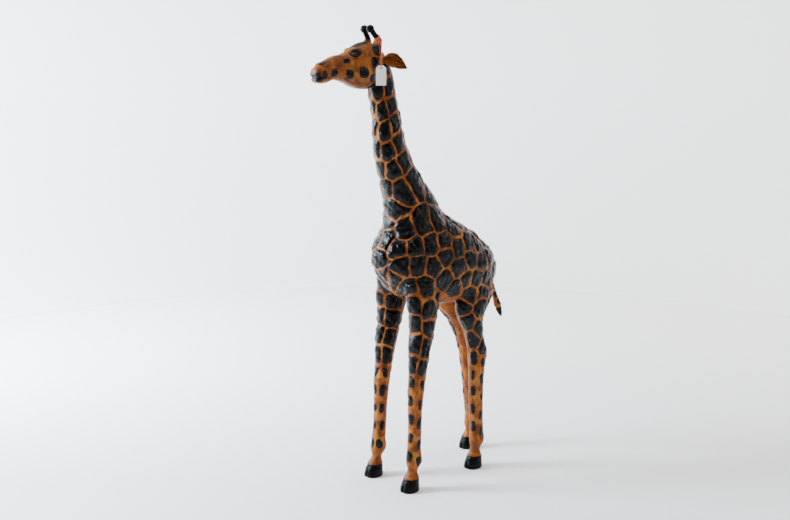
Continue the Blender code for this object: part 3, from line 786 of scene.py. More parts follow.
# Marks on the head, on both sides: y, height, half length, half height
HEAD_MARKS = (
    (-0.4435, 1.3575, 0.0070, 0.0098),
    (-0.411, 1.362, 0.0140, 0.0125),
    (-0.358, 1.358, 0.0140, 0.0145),
    (-0.309, 1.362, 0.0165, 0.0170),
    (-0.272, 1.342, 0.0150, 0.0160),
    (-0.264, 1.388, 0.0165, 0.0170),
    (-0.254, 1.430, 0.0175, 0.0165),
    (-0.365, 1.396, 0.0105, 0.0090),
    (-0.302, 1.441, 0.0080, 0.0045),
)


def head_patches():
    """Seeds of the marks on the head, on both sides."""
    seeds = []
    for y, z, length, height in HEAD_MARKS:
        half = smooth(HEAD, [y])[0][2]
        for side in (1, -1):
            seeds.append((side * half, y, z, length, height, 1.0))
    return seeds


# Half the width of the orange line between two patches, and how softly patches are cornered
HALF_LINE, CORNER = 0.0034, 0.0009


def patch_field(points, seeds):
    """Distance inside a black patch, in metres, negative on the orange between them. A point belongs
    to the seed that is nearest when lengths across are measured in the seed's half width and heights
    in its half height. The edge is the nearer of the line midway to the next seed, less half the
    orange line, and the seed's own rounded outline."""
    seeds = np.array(seeds)
    place, half_width, half_height, reach = seeds[:, :3], seeds[:, 3], seeds[:, 4], seeds[:, 5]
    field = np.full(len(points), -0.02)
    order = np.argsort(points[:, 2])
    slabs = np.array_split(order, 160)
    for slab in slabs:
        z = points[slab, 2]
        near = np.flatnonzero((place[:, 2] > z.min() - 0.11) & (place[:, 2] < z.max() + 0.11))
        if len(near) < 2:
            continue
        gap = points[slab][:, None, :] - place[near][None]
        across = np.hypot(gap[..., 0], gap[..., 1]) / half_width[near]
        up = np.abs(gap[..., 2]) / half_height[near]
        squared = across**2 + up**2
        own = np.argmin(squared, axis=1)
        rows = np.arange(len(slab))
        mine = squared[rows, own]
        size = np.minimum(half_width[near], half_height[near])[own]
        apart = place[near][own][:, None, :] - place[near][None]
        between = np.hypot(
            np.hypot(apart[..., 0], apart[..., 1]) / half_width[near][own][:, None],
            apart[..., 2] / half_height[near][own][:, None],
        )
        between[rows, own] = 1.0
        border = (squared - mine[:, None]) / (2 * between) * size[:, None]
        border[rows, own] = 1.0
        # a soft minimum over the neighbours rounds the corners
        soft = -CORNER * np.log(np.exp(-np.minimum(border, 0.05) / CORNER).sum(1))
        block = (across[rows, own] ** 2.5 + up[rows, own] ** 2.5) ** 0.4
        limit = (reach[near][own] - block) * size
        field[slab] = np.minimum(soft, limit + HALF_LINE)
    # the line swells and narrows along its way, and is widest where the legs meet the body
    fork = bell((points[:, 2] - 0.660) / 0.040)
    return field - HALF_LINE - 0.0011 * waves(points, 0.060, 77) - 0.0014 * fork


# ---------------------------------------------------------------- settings


class GiraffeHideSettings(bpy.types.PropertyGroup):
    """Sizes of the leather hide."""

    grid: FloatProperty(
        name="Grid", description="Edge length of the hide's mesh", default=0.0022, unit="LENGTH"
    )
    relief: FloatProperty(
        name="Relief",
        description="How far a painted patch stands proud of the lines round it",
        default=0.0030,
        unit="LENGTH",
    )
    wrinkle: FloatProperty(
        name="Wrinkle", description="Depth of the leather's soft wrinkles", default=0.0009, unit="LENGTH"
    )


class GiraffeTrimSettings(bpy.types.PropertyGroup):
    """Sizes of the horns."""

    sides: IntProperty(name="Sides", description="Points round each turned piece", default=48)
    knob: FloatProperty(
        name="Knob", description="Radius of a horn's knob", default=0.0126, unit="LENGTH"
    )


class GiraffeStageSettings(bpy.types.PropertyGroup):
    """The studio round the statue."""

    lens: FloatProperty(name="Lens", description="Focal length in millimetres", default=45.57)

# ---------------------------------------------------------------- operators


class GIRAFFE_OT_stage(bpy.types.Operator):
    """Sets up the pale studio, its lights and the camera"""

    bl_idname = "giraffe.stage"
    bl_label = "Stage"

    def execute(self, context):
        settings = context.scene.giraffe_stage
        paper = studio_paper()
        # a wide round floor, and behind the statue a wall that rises from it in a quarter turn
        radii = np.concatenate([[0.01], np.linspace(0.5, FLOOR_RADIUS, 28)])
        angles = np.linspace(0, 2 * math.pi, 96, endpoint=False)
        self.sheet(context, "studio_floor", paper, radii, np.zeros(29), angles, True)
        turn = np.linspace(0, math.pi / 2, 24)
        run = np.concatenate([[WALL_FOOT], WALL_FOOT + WALL_BEND * np.sin(turn), [WALL_FOOT + WALL_BEND]])
        rise = np.concatenate([[0.0005], 0.001 + WALL_BEND - WALL_BEND * np.cos(turn), [WALL_TOP]])
        angles = np.linspace(WALL_FACING - WALL_HALF_ARC, WALL_FACING + WALL_HALF_ARC, 80)
        self.sheet(context, "studio_wall", paper, run, rise, angles, False)

        world = bpy.data.worlds.new("studio")
        context.scene.world = world
        world.use_nodes = True
        world.node_tree.nodes["Background"].inputs["Color"].default_value = (0.94, 0.96, 1.0, 1)
        # the room is dim: only the lens sees it as pale as the paper
        seen = add(world.node_tree, "LightPath").outputs["Is Camera Ray"]
        glow = add(world.node_tree, "Math", {"operation": "MULTIPLY_ADD", 1: 2.5, 2: 0.13}, {0: seen})
        world.node_tree.links.new(glow.outputs[0], world.node_tree.nodes["Background"].inputs["Strength"])
        # name, place, what it faces, size, power, tint, beam; the window is on the statue's right
        wide, narrow = math.pi, math.radians(70)
        lamps = (
            ("window", (-1.80, -2.45, 1.9), (0.1, 0.0, 0.8), 1.2, 390, (0.78, 0.89, 1.0), wide),
            ("wall_wash_left", (-2.3, -1.6, 1.9), (-4.3, 0.4, 0.9), 1.6, 460, (0.88, 0.95, 1.0), wide),
            ("wall_wash", (-0.4, 2.2, 3.2), (-3.4, 3.2, 1.0), 2.0, 70, (1.0, 0.90, 0.82), wide),
            ("right_fill", (3.3, 1.4, 2.4), (0.0, 0.0, 0.9), 1.6, 45, (1.0, 0.92, 0.82), wide),
            ("top_light", (0.3, -0.3, 4.2), (0.0, 0.0, 0.8), 2.6, 95, (1.0, 0.98, 0.96), wide),
            ("front_floor_wash", (1.6, -3.6, 3.6), (1.6, -3.61, 0.0), 3.4, 45, (1.0, 1.0, 1.0), narrow),
            ("side_floor_wash", (3.6, 0.6, 3.6), (3.61, 0.6, 0.0), 3.4, 45, (1.0, 1.0, 1.0), narrow),
            ("back_floor_wash", (1.0, 3.6, 3.6), (1.0, 3.61, 0.0), 3.4, 40, (1.0, 1.0, 1.0), narrow),
        )
        for name, place, target, size, power, tint, beam in lamps:
            light = bpy.data.lights.new(name, "AREA")
            light.shape = "DISK"
            light.size = size
            light.energy = power
            light.color = tint
            light.spread = beam
            lamp = bpy.data.objects.new(name, light)
            lamp.location = place
            aim = np.array(target) - np.array(place)
            turn_z = math.atan2(aim[1], aim[0]) - math.pi / 2
            turn_x = math.pi / 2 + math.atan2(aim[2], math.hypot(aim[0], aim[1]))
            lamp.rotation_euler = (turn_x, 0, turn_z)
            context.scene.collection.objects.link(lamp)

        camera = bpy.data.cameras.new("camera")
        camera.lens = settings.lens
        camera.sensor_width = 36
        eye = bpy.data.objects.new("camera", camera)
        eye.location = CAMERA_PLACE
        eye.rotation_euler = (CAMERA_DOWN, 0, CAMERA_TURN)
        context.scene.collection.objects.link(eye)
        context.scene.camera = eye
        return {"FINISHED"}

    def sheet(self, context, name, paper, run, rise, angles, closed):
        """A sheet whose profile of radii and heights is swept round the statue by the angles."""
        flat = np.stack([np.cos(angles), np.sin(angles)], axis=1)
        points = np.concatenate(
            [
                run[:, None, None] * flat[None],
                np.broadcast_to(rise[:, None, None], (len(run), len(angles), 1)),
            ],
            axis=2,
        )
        quads = grid_quads(len(run), len(angles), False, closed)[:, [0, 3, 2, 1]]
        mesh = bpy.data.meshes.new(name)
        mesh.from_pydata(points.reshape(-1, 3).tolist(), [], quads.tolist())
        mesh.shade_smooth()
        mesh.materials.append(paper)
        made = bpy.data.objects.new(name, mesh)
        context.scene.collection.objects.link(made)


def tag_frame():
    """The tag's axes: across its face, up, and out of it."""
    out = np.array([math.cos(TAG_TURN), -math.sin(TAG_TURN), 0.0])
    up = np.array([0.0, 0.0, 1.0])
    return np.cross(up, out), up, out


def loop_frame():
    """The loop's centre on the left horn, two directions across the horn, and the hold beside it."""
    axis = unit(HORN_TOP - HORN_BASE)
    centre = HORN_BASE + axis * LOOP_UP_HORN
    sideways = unit(np.array([1.0, 0, 0]) - axis * axis[0])
    hold = centre + sideways * (LOOP_RADIUS + 1.3 * STRING_DIAMETER)
    return centre, sideways, np.cross(axis, sideways), hold


def string_route():
    """Down from the loop at the horn, through the hole in the tag, and up again beside itself."""
    across, up, out = tag_frame()
    hold = loop_frame()[3]
    turn = 0.0032
    down = unit(TAG_HOLE - hold)
    points = [hold - across * 0.0016, hold + down * 0.030 - across * 0.0030 + out * 0.0035]
    points.append(TAG_HOLE + up * 0.016 - across * 0.0010 + out * 0.0034)
    for angle in np.linspace(-0.1, math.pi + 0.1, 7):
        bend = up * (0.0030 - 1.2 * turn * math.sin(angle)) + out * (turn * math.cos(angle))
        points.append(TAG_HOLE + bend)
    points.append(TAG_HOLE + up * 0.016 + across * 0.0010 - out * 0.0020)
    points.append(hold + down * 0.030 + across * 0.0030 + out * 0.0010)
    points.append(hold + across * 0.0016)
    return np.array(points)


def even_curve(knots, spacing):
    """Evenly spaced points on a centripetal curve through the knots."""
    share = np.concatenate([[0], np.cumsum(np.sqrt(np.linalg.norm(np.diff(knots, axis=0), axis=1)))])
    fine = smooth(np.column_stack([share, knots]), np.linspace(0, share[-1], 400))
    length = np.concatenate([[0], np.cumsum(np.linalg.norm(np.diff(fine, axis=0), axis=1))])
    even = np.linspace(0, length[-1], max(2, round(length[-1] / spacing) + 1))
    return np.stack([np.interp(even, length, fine[:, axis]) for axis in range(3)], axis=1), length[-1]


class GIRAFFE_OT_tag_string(bpy.types.Operator):
    """Makes the cotton string and its loop round the horn, and gives the tag a card material"""

    bl_idname = "giraffe.tag_string"
    bl_label = "Tag and string"

    def execute(self, context):
        cotton = twisted_cotton()
        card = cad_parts["hang_tag"]
        card.data.materials.clear()
        card.data.materials.append(card_stock())
        path, length = even_curve(string_route(), 0.0012)
        line = bpy.data.curves.new("cotton_string", "CURVE")
        line.dimensions = "3D"
        line.bevel_depth = STRING_DIAMETER / 2
        line.bevel_resolution = 4
        line.use_fill_caps = True
        spline = line.splines.new("POLY")
        spline.points.add(len(path) - 1)
        for target, point in zip(spline.points, path + SHIFT):
            target.co = (*point, 1)
        line.materials.append(cotton)
        string = bpy.data.objects.new("cotton_string", line)
        context.scene.collection.objects.link(string)
        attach(string, "tag")
        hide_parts("tag_string")

        centre, sideways, third, _ = loop_frame()
        turn = np.linspace(0, 2 * math.pi, 72, endpoint=False)
        spoke = np.cos(turn)[:, None] * sideways + np.sin(turn)[:, None] * third
        axis = np.cross(sideways, third)
        around = outline(12)
        radius = STRING_DIAMETER / 2
        # two turns of twine side by side, as one grid that closes both ways
        rings = []
        for lift in (-0.9, 0.9):
            middle = centre + LOOP_RADIUS * spoke + axis * (lift * radius)
            rings.append(
                middle[:, None]
                + radius * (around[None, :, :1] * spoke[:, None] + around[None, :, 1:] * axis)
            )
        points = np.concatenate([ring.reshape(-1, 3) for ring in rings])
        quads = grid_quads(72, 12, True, True)[:, [0, 3, 2, 1]]
        faces = np.concatenate([quads, quads + 72 * 12])
        new_piece("cotton_loop", points, faces, "statue", cotton, ("string_loop",))
        return {"FINISHED"}


class GIRAFFE_OT_hide(bpy.types.Operator):
    """Makes the leather over trunk, neck, head and legs, with its raised black patches"""

    bl_idname = "giraffe.hide"
    bl_label = "Leather hide"

    def execute(self, context):
        settings = context.scene.giraffe_hide
        points, quads = one_skin(hide_lofts(), settings.grid)
        points = relaxed(points, quads, 8)
        joint = self.near_joints(points)
        points = melted(points, quads, 70, 0.5 * joint)
        points = relaxed(points, quads, 4)
        points = self.face_shape(points, normals_of(points, quads))

        seeds = neck_patches() + trunk_patches() + head_patches()
        for name in STANCE:
            seeds += leg_patches(name)
        wander = 0.0024 * np.stack([waves(points, 0.050, seed) for seed in (1, 2, 3)], axis=1)
        wander += 0.0010 * np.stack([waves(points, 0.015, seed) for seed in (4, 5, 6)], axis=1)
        field = patch_field(points + wander, seeds)
        field = self.plain_places(points, normals_of(points, quads), field)

        normal = normals_of(points, quads)
        relief = settings.relief * self.relief_share(points)
        swell = step(-0.0015, 0.0100, field) - 0.22 * step(0.0, 0.003, -field) * step(-0.02, -0.004, field)
        soft = settings.wrinkle * waves(points, 0.024, 7) + 0.35 * settings.wrinkle * waves(points, 0.009, 8)
        calm = 0.35 + 0.65 * step(0.018, 0.034, self.thickness(points))
        lumps = 0.0024 * step(0.55, 0.66, points[:, 2]) * (1 - step(0.86, 0.98, points[:, 2]))
        lumps = lumps * np.clip(0.7 + waves(points, 0.085, 9), 0, 2)
        height = 0.0006 + relief * swell + lumps + soft * calm * np.where(points[:, 2] > 1.30, 0.45, 1.0)
        points = points + height[:, None] * normal
        shade = self.painted_shade(points)
        wear = step(-0.010, -0.003, -np.abs(field + 0.006)) * step(-0.2, 0.9, waves(points, 0.05, 11))
        self.split(points, quads, normals_of(points, quads), field * 1000, shade, wear)
        return {"FINISHED"}

    def near_joints(self, points):
        """1 where neck, legs and head run into each other, 0 elsewhere."""
        y, z = points[:, 1], points[:, 2]
        withers = bell((z - 0.885) / 0.060) * (y < 0.13)
        outer = np.maximum(np.abs(points[:, 0]) - 0.02, -y - 0.10)
        hips = step(0.575, 0.625, z) * (1 - step(0.700, 0.745, z)) * step(-0.02, 0.05, outer)
        poll = 0.6 * bell((y + 0.232) / 0.030) * (z > 1.30) * (z < 1.42)
        stumps = 0.35 * bell((z - 1.452) / 0.012) * (y > -0.275)
        return np.clip(withers + hips + poll + stumps, 0, 1)

    def thickness(self, points):
        """Rough half width of the piece that a point is on."""
        z = points[:, 2]
        legs = np.interp(z, (0.05, 0.30, 0.60), (0.018, 0.024, 0.045))
        return np.where(z < 0.60, legs, np.where(z > 1.0, 0.045, 0.10))

    def relief_share(self, points):
        """How much of the full relief the patches have at each height."""
        z = points[:, 2]
        return np.interp(z, (0.08, 0.30, 0.55, 0.75, 0.95, 1.30, 1.36), (0.3, 0.5, 0.9, 1.3, 1.0, 0.7, 0.3))

    def plain_places(self, points, normal, field):
        """Takes the patches off the belly, the groin and the inner sides of the legs."""
        x, y, z = points.T
        belly = step(0.50, 0.80, -normal[:, 2]) * (z > 0.52) * (z < 0.70) * step(-0.12, -0.06, y)
        inner = step(-0.1, 0.35, -normal[:, 0] * np.sign(x)) * (z < 0.68) * (z > 0.045)
        inner = np.where(y < 0.02, inner * step(0.20, 0.50, normal[:, 1]), inner)
        return field - 0.02 * np.clip(belly + inner, 0, 1)

    def face_shape(self, points, normal):
        """Presses the eye sockets, raises lids and brows, and forms nostrils, lips and jaw: bumps
        and dents that are Gaussians in y and z on both sides."""
        x, y, z = points.T
        head = (y < -0.235) & (z > 1.29)
        features = (
            # y, height, length, height of the feature, depth along the normal, least |x|
            (-0.333, 1.4165, 0.015, 0.010, -0.0030, 0.012),
            (-0.331, 1.4300, 0.018, 0.0055, 0.0042, 0.012),
            (-0.334, 1.4045, 0.016, 0.0050, 0.0022, 0.012),
            (-0.300, 1.3560, 0.030, 0.0220, 0.0030, 0.012),
            (-0.455, 1.3780, 0.008, 0.0055, -0.0026, 0.006),
            (-0.447, 1.3870, 0.009, 0.0050, 0.0020, 0.006),
            (-0.395, 1.3800, 0.030, 0.0150, -0.0022, 0.012),
        )
        push = np.zeros(len(points))
        for feature_y, feature_z, length, height, depth, inside in features:
            bump = bell((y - feature_y) / length, (z - feature_z) / height)
            push += depth * bump * step(inside * 0.4, inside, np.abs(x))
        mouth_z = 1.3475 + 0.10 * np.clip(y + 0.440, 0, 1)
        mouth = bell((z - mouth_z) / 0.0030) * step(-0.418, -0.434, y)
        lips = bell((np.abs(z - mouth_z) - 0.0085) / 0.0060) * step(-0.430, -0.452, y)
        push += -0.0030 * mouth + 0.0022 * lips
        return points + (push * head)[:, None] * normal

    def painted_shade(self, points):
        """Marks painted by hand on the head: lids, nostrils, lips, the cap before the horns and the
        line along the nose; also painted shade under the eye, along the cheek and under the jaw, and a
        darker muzzle's end."""
        x, y, z = points.T
        head = (y < -0.235) & (z > 1.29)
        side = step(0.006, 0.012, np.abs(x))

        def oval(mark_y, mark_z, length, height, tilt=0.0):
            up = z - mark_z - tilt * (y - mark_y)
            away = np.hypot((y - mark_y) / length, up / height)
            return 1 - step(0.85, 1.15, away)

        eye = oval(-0.3325, 1.4180, 0.0185, 0.0090, 0.12) * side
        lid = oval(-0.328, 1.4300, 0.017, 0.0022, 0.20) * side
        nostril = oval(-0.4440, 1.3900, 0.0110, 0.0050, 0.35) * step(0.003, 0.006, np.abs(x))
        ridge = (1 - step(0.0014, 0.0030, np.abs(np.abs(x) - 0.016))) * step(-0.380, -0.392, y)
        ridge = ridge * step(-0.445, -0.436, y) * (z > 1.38)
        cap = (1 - step(0.85, 1.1, np.hypot(x / 0.024, (y + 0.292) / 0.040))) * (z > 1.425)
        mouth_z = 1.3475 + 0.10 * np.clip(y + 0.440, 0, 1)
        lips = 0.8 * (1 - step(0.0008, 0.0030, np.abs(z - mouth_z))) * step(-0.434, -0.440, y)
        muzzle = oval(-0.4665, 1.3510, 0.0060, 0.0090)
        total = eye + lid + nostril + 0.6 * ridge + cap + lips + muzzle
        # painted shade: darker under the eye and along the cheek to the mouth, and darker under the jaw; the
        # muzzle's end is made darker too
        stained = 0.42 * bell((y + 0.395) / 0.045, (z - 1.382) / 0.013)
        stained += 0.45 * bell((y + 0.335) / 0.030, (z - 1.404) / 0.008)
        stained += 0.45 * step(-1.368, -1.342, -z) + 0.55 * step(0.438, 0.466, -y)
        return np.clip(total + stained * side, 0, 1) * head

    def split(self, points, quads, normal, field, shade, wear):
        """Cuts the one skin into the statue's covers: head, neck, trunk and four legs. Each keeps the
        whole skin's normals, so no seam shows where two of them meet."""
        centre = points[quads].mean(axis=1)
        x, y, z = centre.T
        label = np.full(len(quads), "trunk", dtype="U16")
        hip = 0.655 - 0.05 * np.abs(np.abs(x) - 0.08)
        for name in STANCE:
            right = (x < 0) if "right" in name else (x >= 0)
            fore = (y < 0.02) if "front" in name else (y >= 0.02)
            label[(z < hip) & right & fore & (np.abs(x) > 0.030) & self.on_leg(name, centre)] = name
        withers = 0.895 - 0.22 * np.clip(y + 0.06, -0.2, 0.2)
        label[z > withers] = "neck"
        label[(z > 1.29) & (y < -0.245)] = "head"
        label[z > 1.428] = "head"
        for name in np.unique(label):
            chosen = quads[label == name]
            used, faces = np.unique(chosen, return_inverse=True)
            node = name + "_leg_cover" if name in STANCE else name + "_cover"
            made = new_piece(
                name + ("_leg_hide" if name in STANCE else "_hide"),
                points[used],
                faces.reshape(-1, 4),
                "statue",
                leather(),
                (node,),
                angle=0,
            )
            made.data.normals_split_custom_set_from_vertices(normal[used].tolist())
            paint(made.data, "patch", field[used])
            paint(made.data, "shade", shade[used])
            paint(made.data, "wear", wear[used])

    def on_leg(self, name, centre):
        """True for faces within a leg's own outline, grown by a quarter."""
        rows = stance_rows(*STANCE[name])
        x, y, depth, width = smooth(rows, np.clip(centre[:, 2], 0.044, 0.69)).T
        away = ((centre[:, 0] - x) / width) ** 2 + ((centre[:, 1] - y) / depth) ** 2
        return (away < 1.7) | (centre[:, 2] < 0.56)


class GIRAFFE_OT_horns_and_eyes(bpy.types.Operator):
    """Turns the two knobbed horns and sets the two glass eyes"""

    bl_idname = "giraffe.horns_and_eyes"
    bl_label = "Horns and eyes"

    def execute(self, context):
        settings = context.scene.giraffe_trim
        length = float(np.linalg.norm(HORN_TOP - HORN_BASE))
        knob = settings.knob
        # profile: distance along the horn, radius
        shaft = [(0.018, 0.0010), (0.019, 0.0080), (0.024, 0.0090), (0.034, 0.0088)]
        shaft += [(length - 0.028, 0.0087), (length - 0.0225, 0.0094)]
        ball = [
            (length - 0.0115 + 0.0122 * math.sin(a), knob * math.cos(a) ** 0.9)
            for a in np.linspace(-0.80, 1.55, 14)
        ]
        profile = np.array(shaft + ball)
        even = np.linspace(0, 1, 90)
        arc = np.concatenate([[0], np.cumsum(np.hypot(*np.diff(profile, axis=0).T))])
        rows = np.column_stack([arc / arc[-1], profile])
        along, radius = smooth(rows, even).T
        for side, word in ((1, "left"), (-1, "right")):
            base, top = mirrored(HORN_BASE, side), mirrored(HORN_TOP, side)
            axis = unit(top - base)
            first = unit(np.cross(axis, [0.0, 1.0, 0.0]))
            second = np.cross(axis, first)
            around = outline(settings.sides)
            spokes = around[:, :1] * first + around[:, 1:] * second
            middle = base + along[:, None] * axis
            rings = middle[:, None] + np.maximum(radius, 0.0004)[:, None, None] * spokes
            points, faces = loft(rings)
            out = away_from_axis(points, base, axis)
            points = points + out * (0.00045 * waves(points, 0.011, 21 + side))[:, None]
            name, paint_slot = word + "_turned_horn", "black_painted_wood"
            new_piece(name, points, faces, "statue", horn_black(), (word + "_horn",))
            self.eye(word, mirrored(EYE_CENTRE, side), side)
        return {"FINISHED"}

    def eye(self, word, centre, side):
        """A ball of glass: x, y and z are the radius times cosines and sines of two angles, with the
        pole towards the head's side."""
        turn = np.linspace(-1.5, 1.5, 30)[:, None]
        around = np.linspace(0, 2 * math.pi, 40, endpoint=False)[None, :]
        radius = 0.0098
        rings = np.stack(
            [
                centre[0] + side * radius * 0.80 * np.sin(turn) * np.ones_like(around),
                centre[1] + radius * 1.15 * np.cos(turn) * np.cos(around),
                centre[2] + radius * 0.66 * np.cos(turn) * np.sin(around),
            ],
            axis=-1,
        )
        points, faces = loft(rings)
        glass = made_once("polished black glass", eye_glass)
        new_piece(word + "_glass_eye", points, faces, "statue", glass, (word + "_eye",))


class GIRAFFE_OT_ears(bpy.types.Operator):
    """Folds the two leather ears"""

    bl_idname = "giraffe.ears"
    bl_label = "Ears"

    def execute(self, context):
        for side, word in ((1, "left"), (-1, "right")):
            self.ear(word, side)
        return {"FINISHED"}

    def ear(self, word, side):
        """A cupped leaf of leather as a closed sheet: u runs from the root to the tip and v across
        it. Its half width follows EAR_SHAPE, its cup is a parabola in v, and pleats are cosines in v
        that fade towards the tip."""
        root, tip = mirrored(EAR_ROOT, side), mirrored(EAR_TIP, side)
        along = unit(tip - root)
        up = unit(np.array([0.0, 0.0, 1.0]) - along * along[2])
        out = np.cross(along, up) * side
        length = float(np.linalg.norm(tip - root))
        u = np.linspace(0, 1, 70)[:, None]
        v = np.linspace(-1, 1, 45)[None, :]
        half = smooth(EAR_SHAPE, u[:, 0])
        lift = 0.0065 * np.sin(math.pi * u**0.8)
        ragged = 1 + 0.03 * np.sin(17 * u + 1.3) + 0.02 * np.sin(31 * u)
        cup = 0.55 * half * (1 - v**2)
        pleat = 0.0011 * np.cos(9.5 * v + 2.2 * u) * (1 - u) ** 0.6 * (1 - v**4)
        roll = 0.0018 * np.abs(v) ** 6 * np.sin(math.pi * u)

        def sheet(depth):
            return (
                root
                + along * (u * length)[..., None]
                + up * (half * ragged * v + lift)[..., None]
                - out * (cup - pleat - roll + depth)[..., None]
            )

        wall = 0.0011 + 0.0009 * (1 - v**4) * np.ones_like(u)
        rings = np.concatenate([sheet(0 * v * u), sheet(wall)[:, ::-1]], axis=1)
        points, faces = loft(rings)
        across = np.concatenate([v * np.ones_like(u), v[:, ::-1] * np.ones_like(u)], axis=1)
        rim = np.abs(across)
        where = np.concatenate([u * np.ones_like(v)] * 2, axis=1)
        # painted strokes along the outer edge, the lower edge and the middle: place across the ear,
        # waviness, where it is full and where it ends across, where it starts, is full, fades and
        # ends along the ear, and strength
        strokes = (
            (0.62, 0.06, 0.05, 0.12, 0.30, 0.38, 0.62, 0.70, 1.0),
            (-0.72, 0.0, 0.06, 0.14, 0.45, 0.55, 0.80, 0.88, 0.8),
            (0.15, 0.0, 0.05, 0.11, 0.42, 0.50, 0.70, 0.78, 1.0),
        )
        black = step(0.86, 0.90, where)
        for middle, wavy, full, gone, start, whole, fade, end, strength in strokes:
            stroke = 1 - step(full, gone, np.abs(across - middle) - wavy * np.sin(25 * where))
            black = black + strength * stroke * step(start, whole, where) * (1 - step(fade, end, where))
        black = np.clip(black, 0, 1)
        patch = np.concatenate([(black * 6 - 4).reshape(-1), [-4.0, 3.0]])
        # painted shade: darker towards the root and the middle of the cupped ear, where its pleats are
        # deepest
        shade = np.concatenate([(0.45 * (1 - step(0.0, 0.5, where)) * (1 - rim)).reshape(-1), [0.0, 0.0]])
        wear = np.concatenate([(step(0.80, 1.0, rim) * 0.8).reshape(-1), [0.0, 0.0]])
        ear = word + "_ear"
        name = word + "_leather_ear"
        made = new_piece(name, points, faces, ear, leather(), (ear,))
        paint(made.data, "patch", patch)
        paint(made.data, "shade", shade)
        paint(made.data, "wear", wear)


class GIRAFFE_OT_mane(bpy.types.Operator):
    """Stands the dark leather strip on the nape"""

    bl_idname = "giraffe.mane"
    bl_label = "Mane"

    def execute(self, context):
        """A ridge carried down the nape: its section is a rounded wedge, and its crest is cut into
        bristles by a fast sine along the neck."""
        heights = np.linspace(MANE_FOOT, MANE_TOP, 360)
        middle, depth = smooth([(z, y, d) for z, y, d, _ in NECK], heights).T
        crest = middle + depth
        lean = np.gradient(crest, heights)
        normal = np.stack([np.zeros(360), np.ones(360), -lean], axis=1) / np.hypot(1, lean)[:, None]
        taper = np.sqrt(np.clip(np.minimum(heights - heights[0], heights[-1] - heights) / 0.03, 0.02, 1))
        notch = 1 + 0.10 * np.sin(heights * 2 * math.pi / 0.0052)
        notch = notch + 0.06 * np.sin(heights * 2 * math.pi / 0.013)
        turn = np.linspace(0, 2 * math.pi, 20, endpoint=False)
        half, proud, sunk = 0.0042, 0.0068, 0.0030
        out = np.where(np.sin(turn) > 0, proud, sunk) * np.sin(turn)
        x = half * np.cos(turn) * (1 - 0.55 * np.clip(np.sin(turn), 0, 1))
        spine = np.stack([np.zeros(360), crest, heights], axis=1)
        rise = out[None, :] * (taper * notch)[:, None]
        rings = spine[:, None] + rise[..., None] * normal[:, None]
        rings[..., 0] += x[None, :] * (0.4 + 0.6 * taper)[:, None]
        points, faces = loft(rings)
        new_piece("mane_strip", points, faces, "statue", strip_black(), ("mane",))
        return {"FINISHED"}


class GIRAFFE_OT_hooves(bpy.types.Operator):
    """Carves the four cloven hooves"""

    bl_idname = "giraffe.hooves"
    bl_label = "Hooves"

    def execute(self, context):
        for name, stance in STANCE.items():
            self.hoof(name, stance_rows(*stance)[0])
        return {"FINISHED"}

    def hoof(self, name, ankle):
        """Level rounded rings from the sole to the ankle. The cleft is a Gaussian dent round the
        front, deepest at the sole; the edge of the sole is turned under."""
        # height, how far it stands ahead of the ankle, half depth, half width
        rows = (
            (0.0000, 0.0070, 0.0305, 0.0260),
            (0.0020, 0.0070, 0.0327, 0.0282),
            (0.0050, 0.0070, 0.0330, 0.0286),
            (0.0140, 0.0060, 0.0325, 0.0285),
            (0.0280, 0.0035, 0.0300, 0.0268),
            (0.0380, 0.0010, 0.0275, 0.0250),
            (0.0430, 0.0000, 0.0262, 0.0242),
            (HOOF_HEIGHT, -0.0006, 0.0235, 0.0215),
        )
        heights = np.linspace(0, HOOF_HEIGHT, 44)
        ahead, depth, width = smooth(rows, heights).T
        turn = np.linspace(0, 2 * math.pi, 96, endpoint=False)
        front = bell(turned_back(turn - 1.5 * math.pi) / 0.085)
        dent = 1 - 0.20 * front[None, :] * (1 - step(0.012, 0.036, heights))[:, None]
        rib = 1 + 0.006 * np.sin(heights * 2 * math.pi / 0.0065)
        around = outline(96, 2.1)
        x = ankle[1] + width[:, None] * rib[:, None] * around[:, 0] * dent
        y = (ankle[2] - ahead)[:, None] + depth[:, None] * rib[:, None] * around[:, 1] * dent
        rings = np.stack([x, y, np.broadcast_to(heights[:, None], x.shape)], axis=-1)
        points, faces = loft(rings)
        lively = 0.0004 * waves(points, 0.013, 31) * step(0.001, 0.006, points[:, 2])
        out = unit((points - [ankle[1], ankle[2], 0.0]) * [1, 1, 0] + 1e-9)
        points = points + out * lively[:, None]
        made, paint_slot = name + "_carved_hoof", "black_painted_wood"
        new_piece(made, points, faces, "statue", horn_black(), (name + "_hoof",))


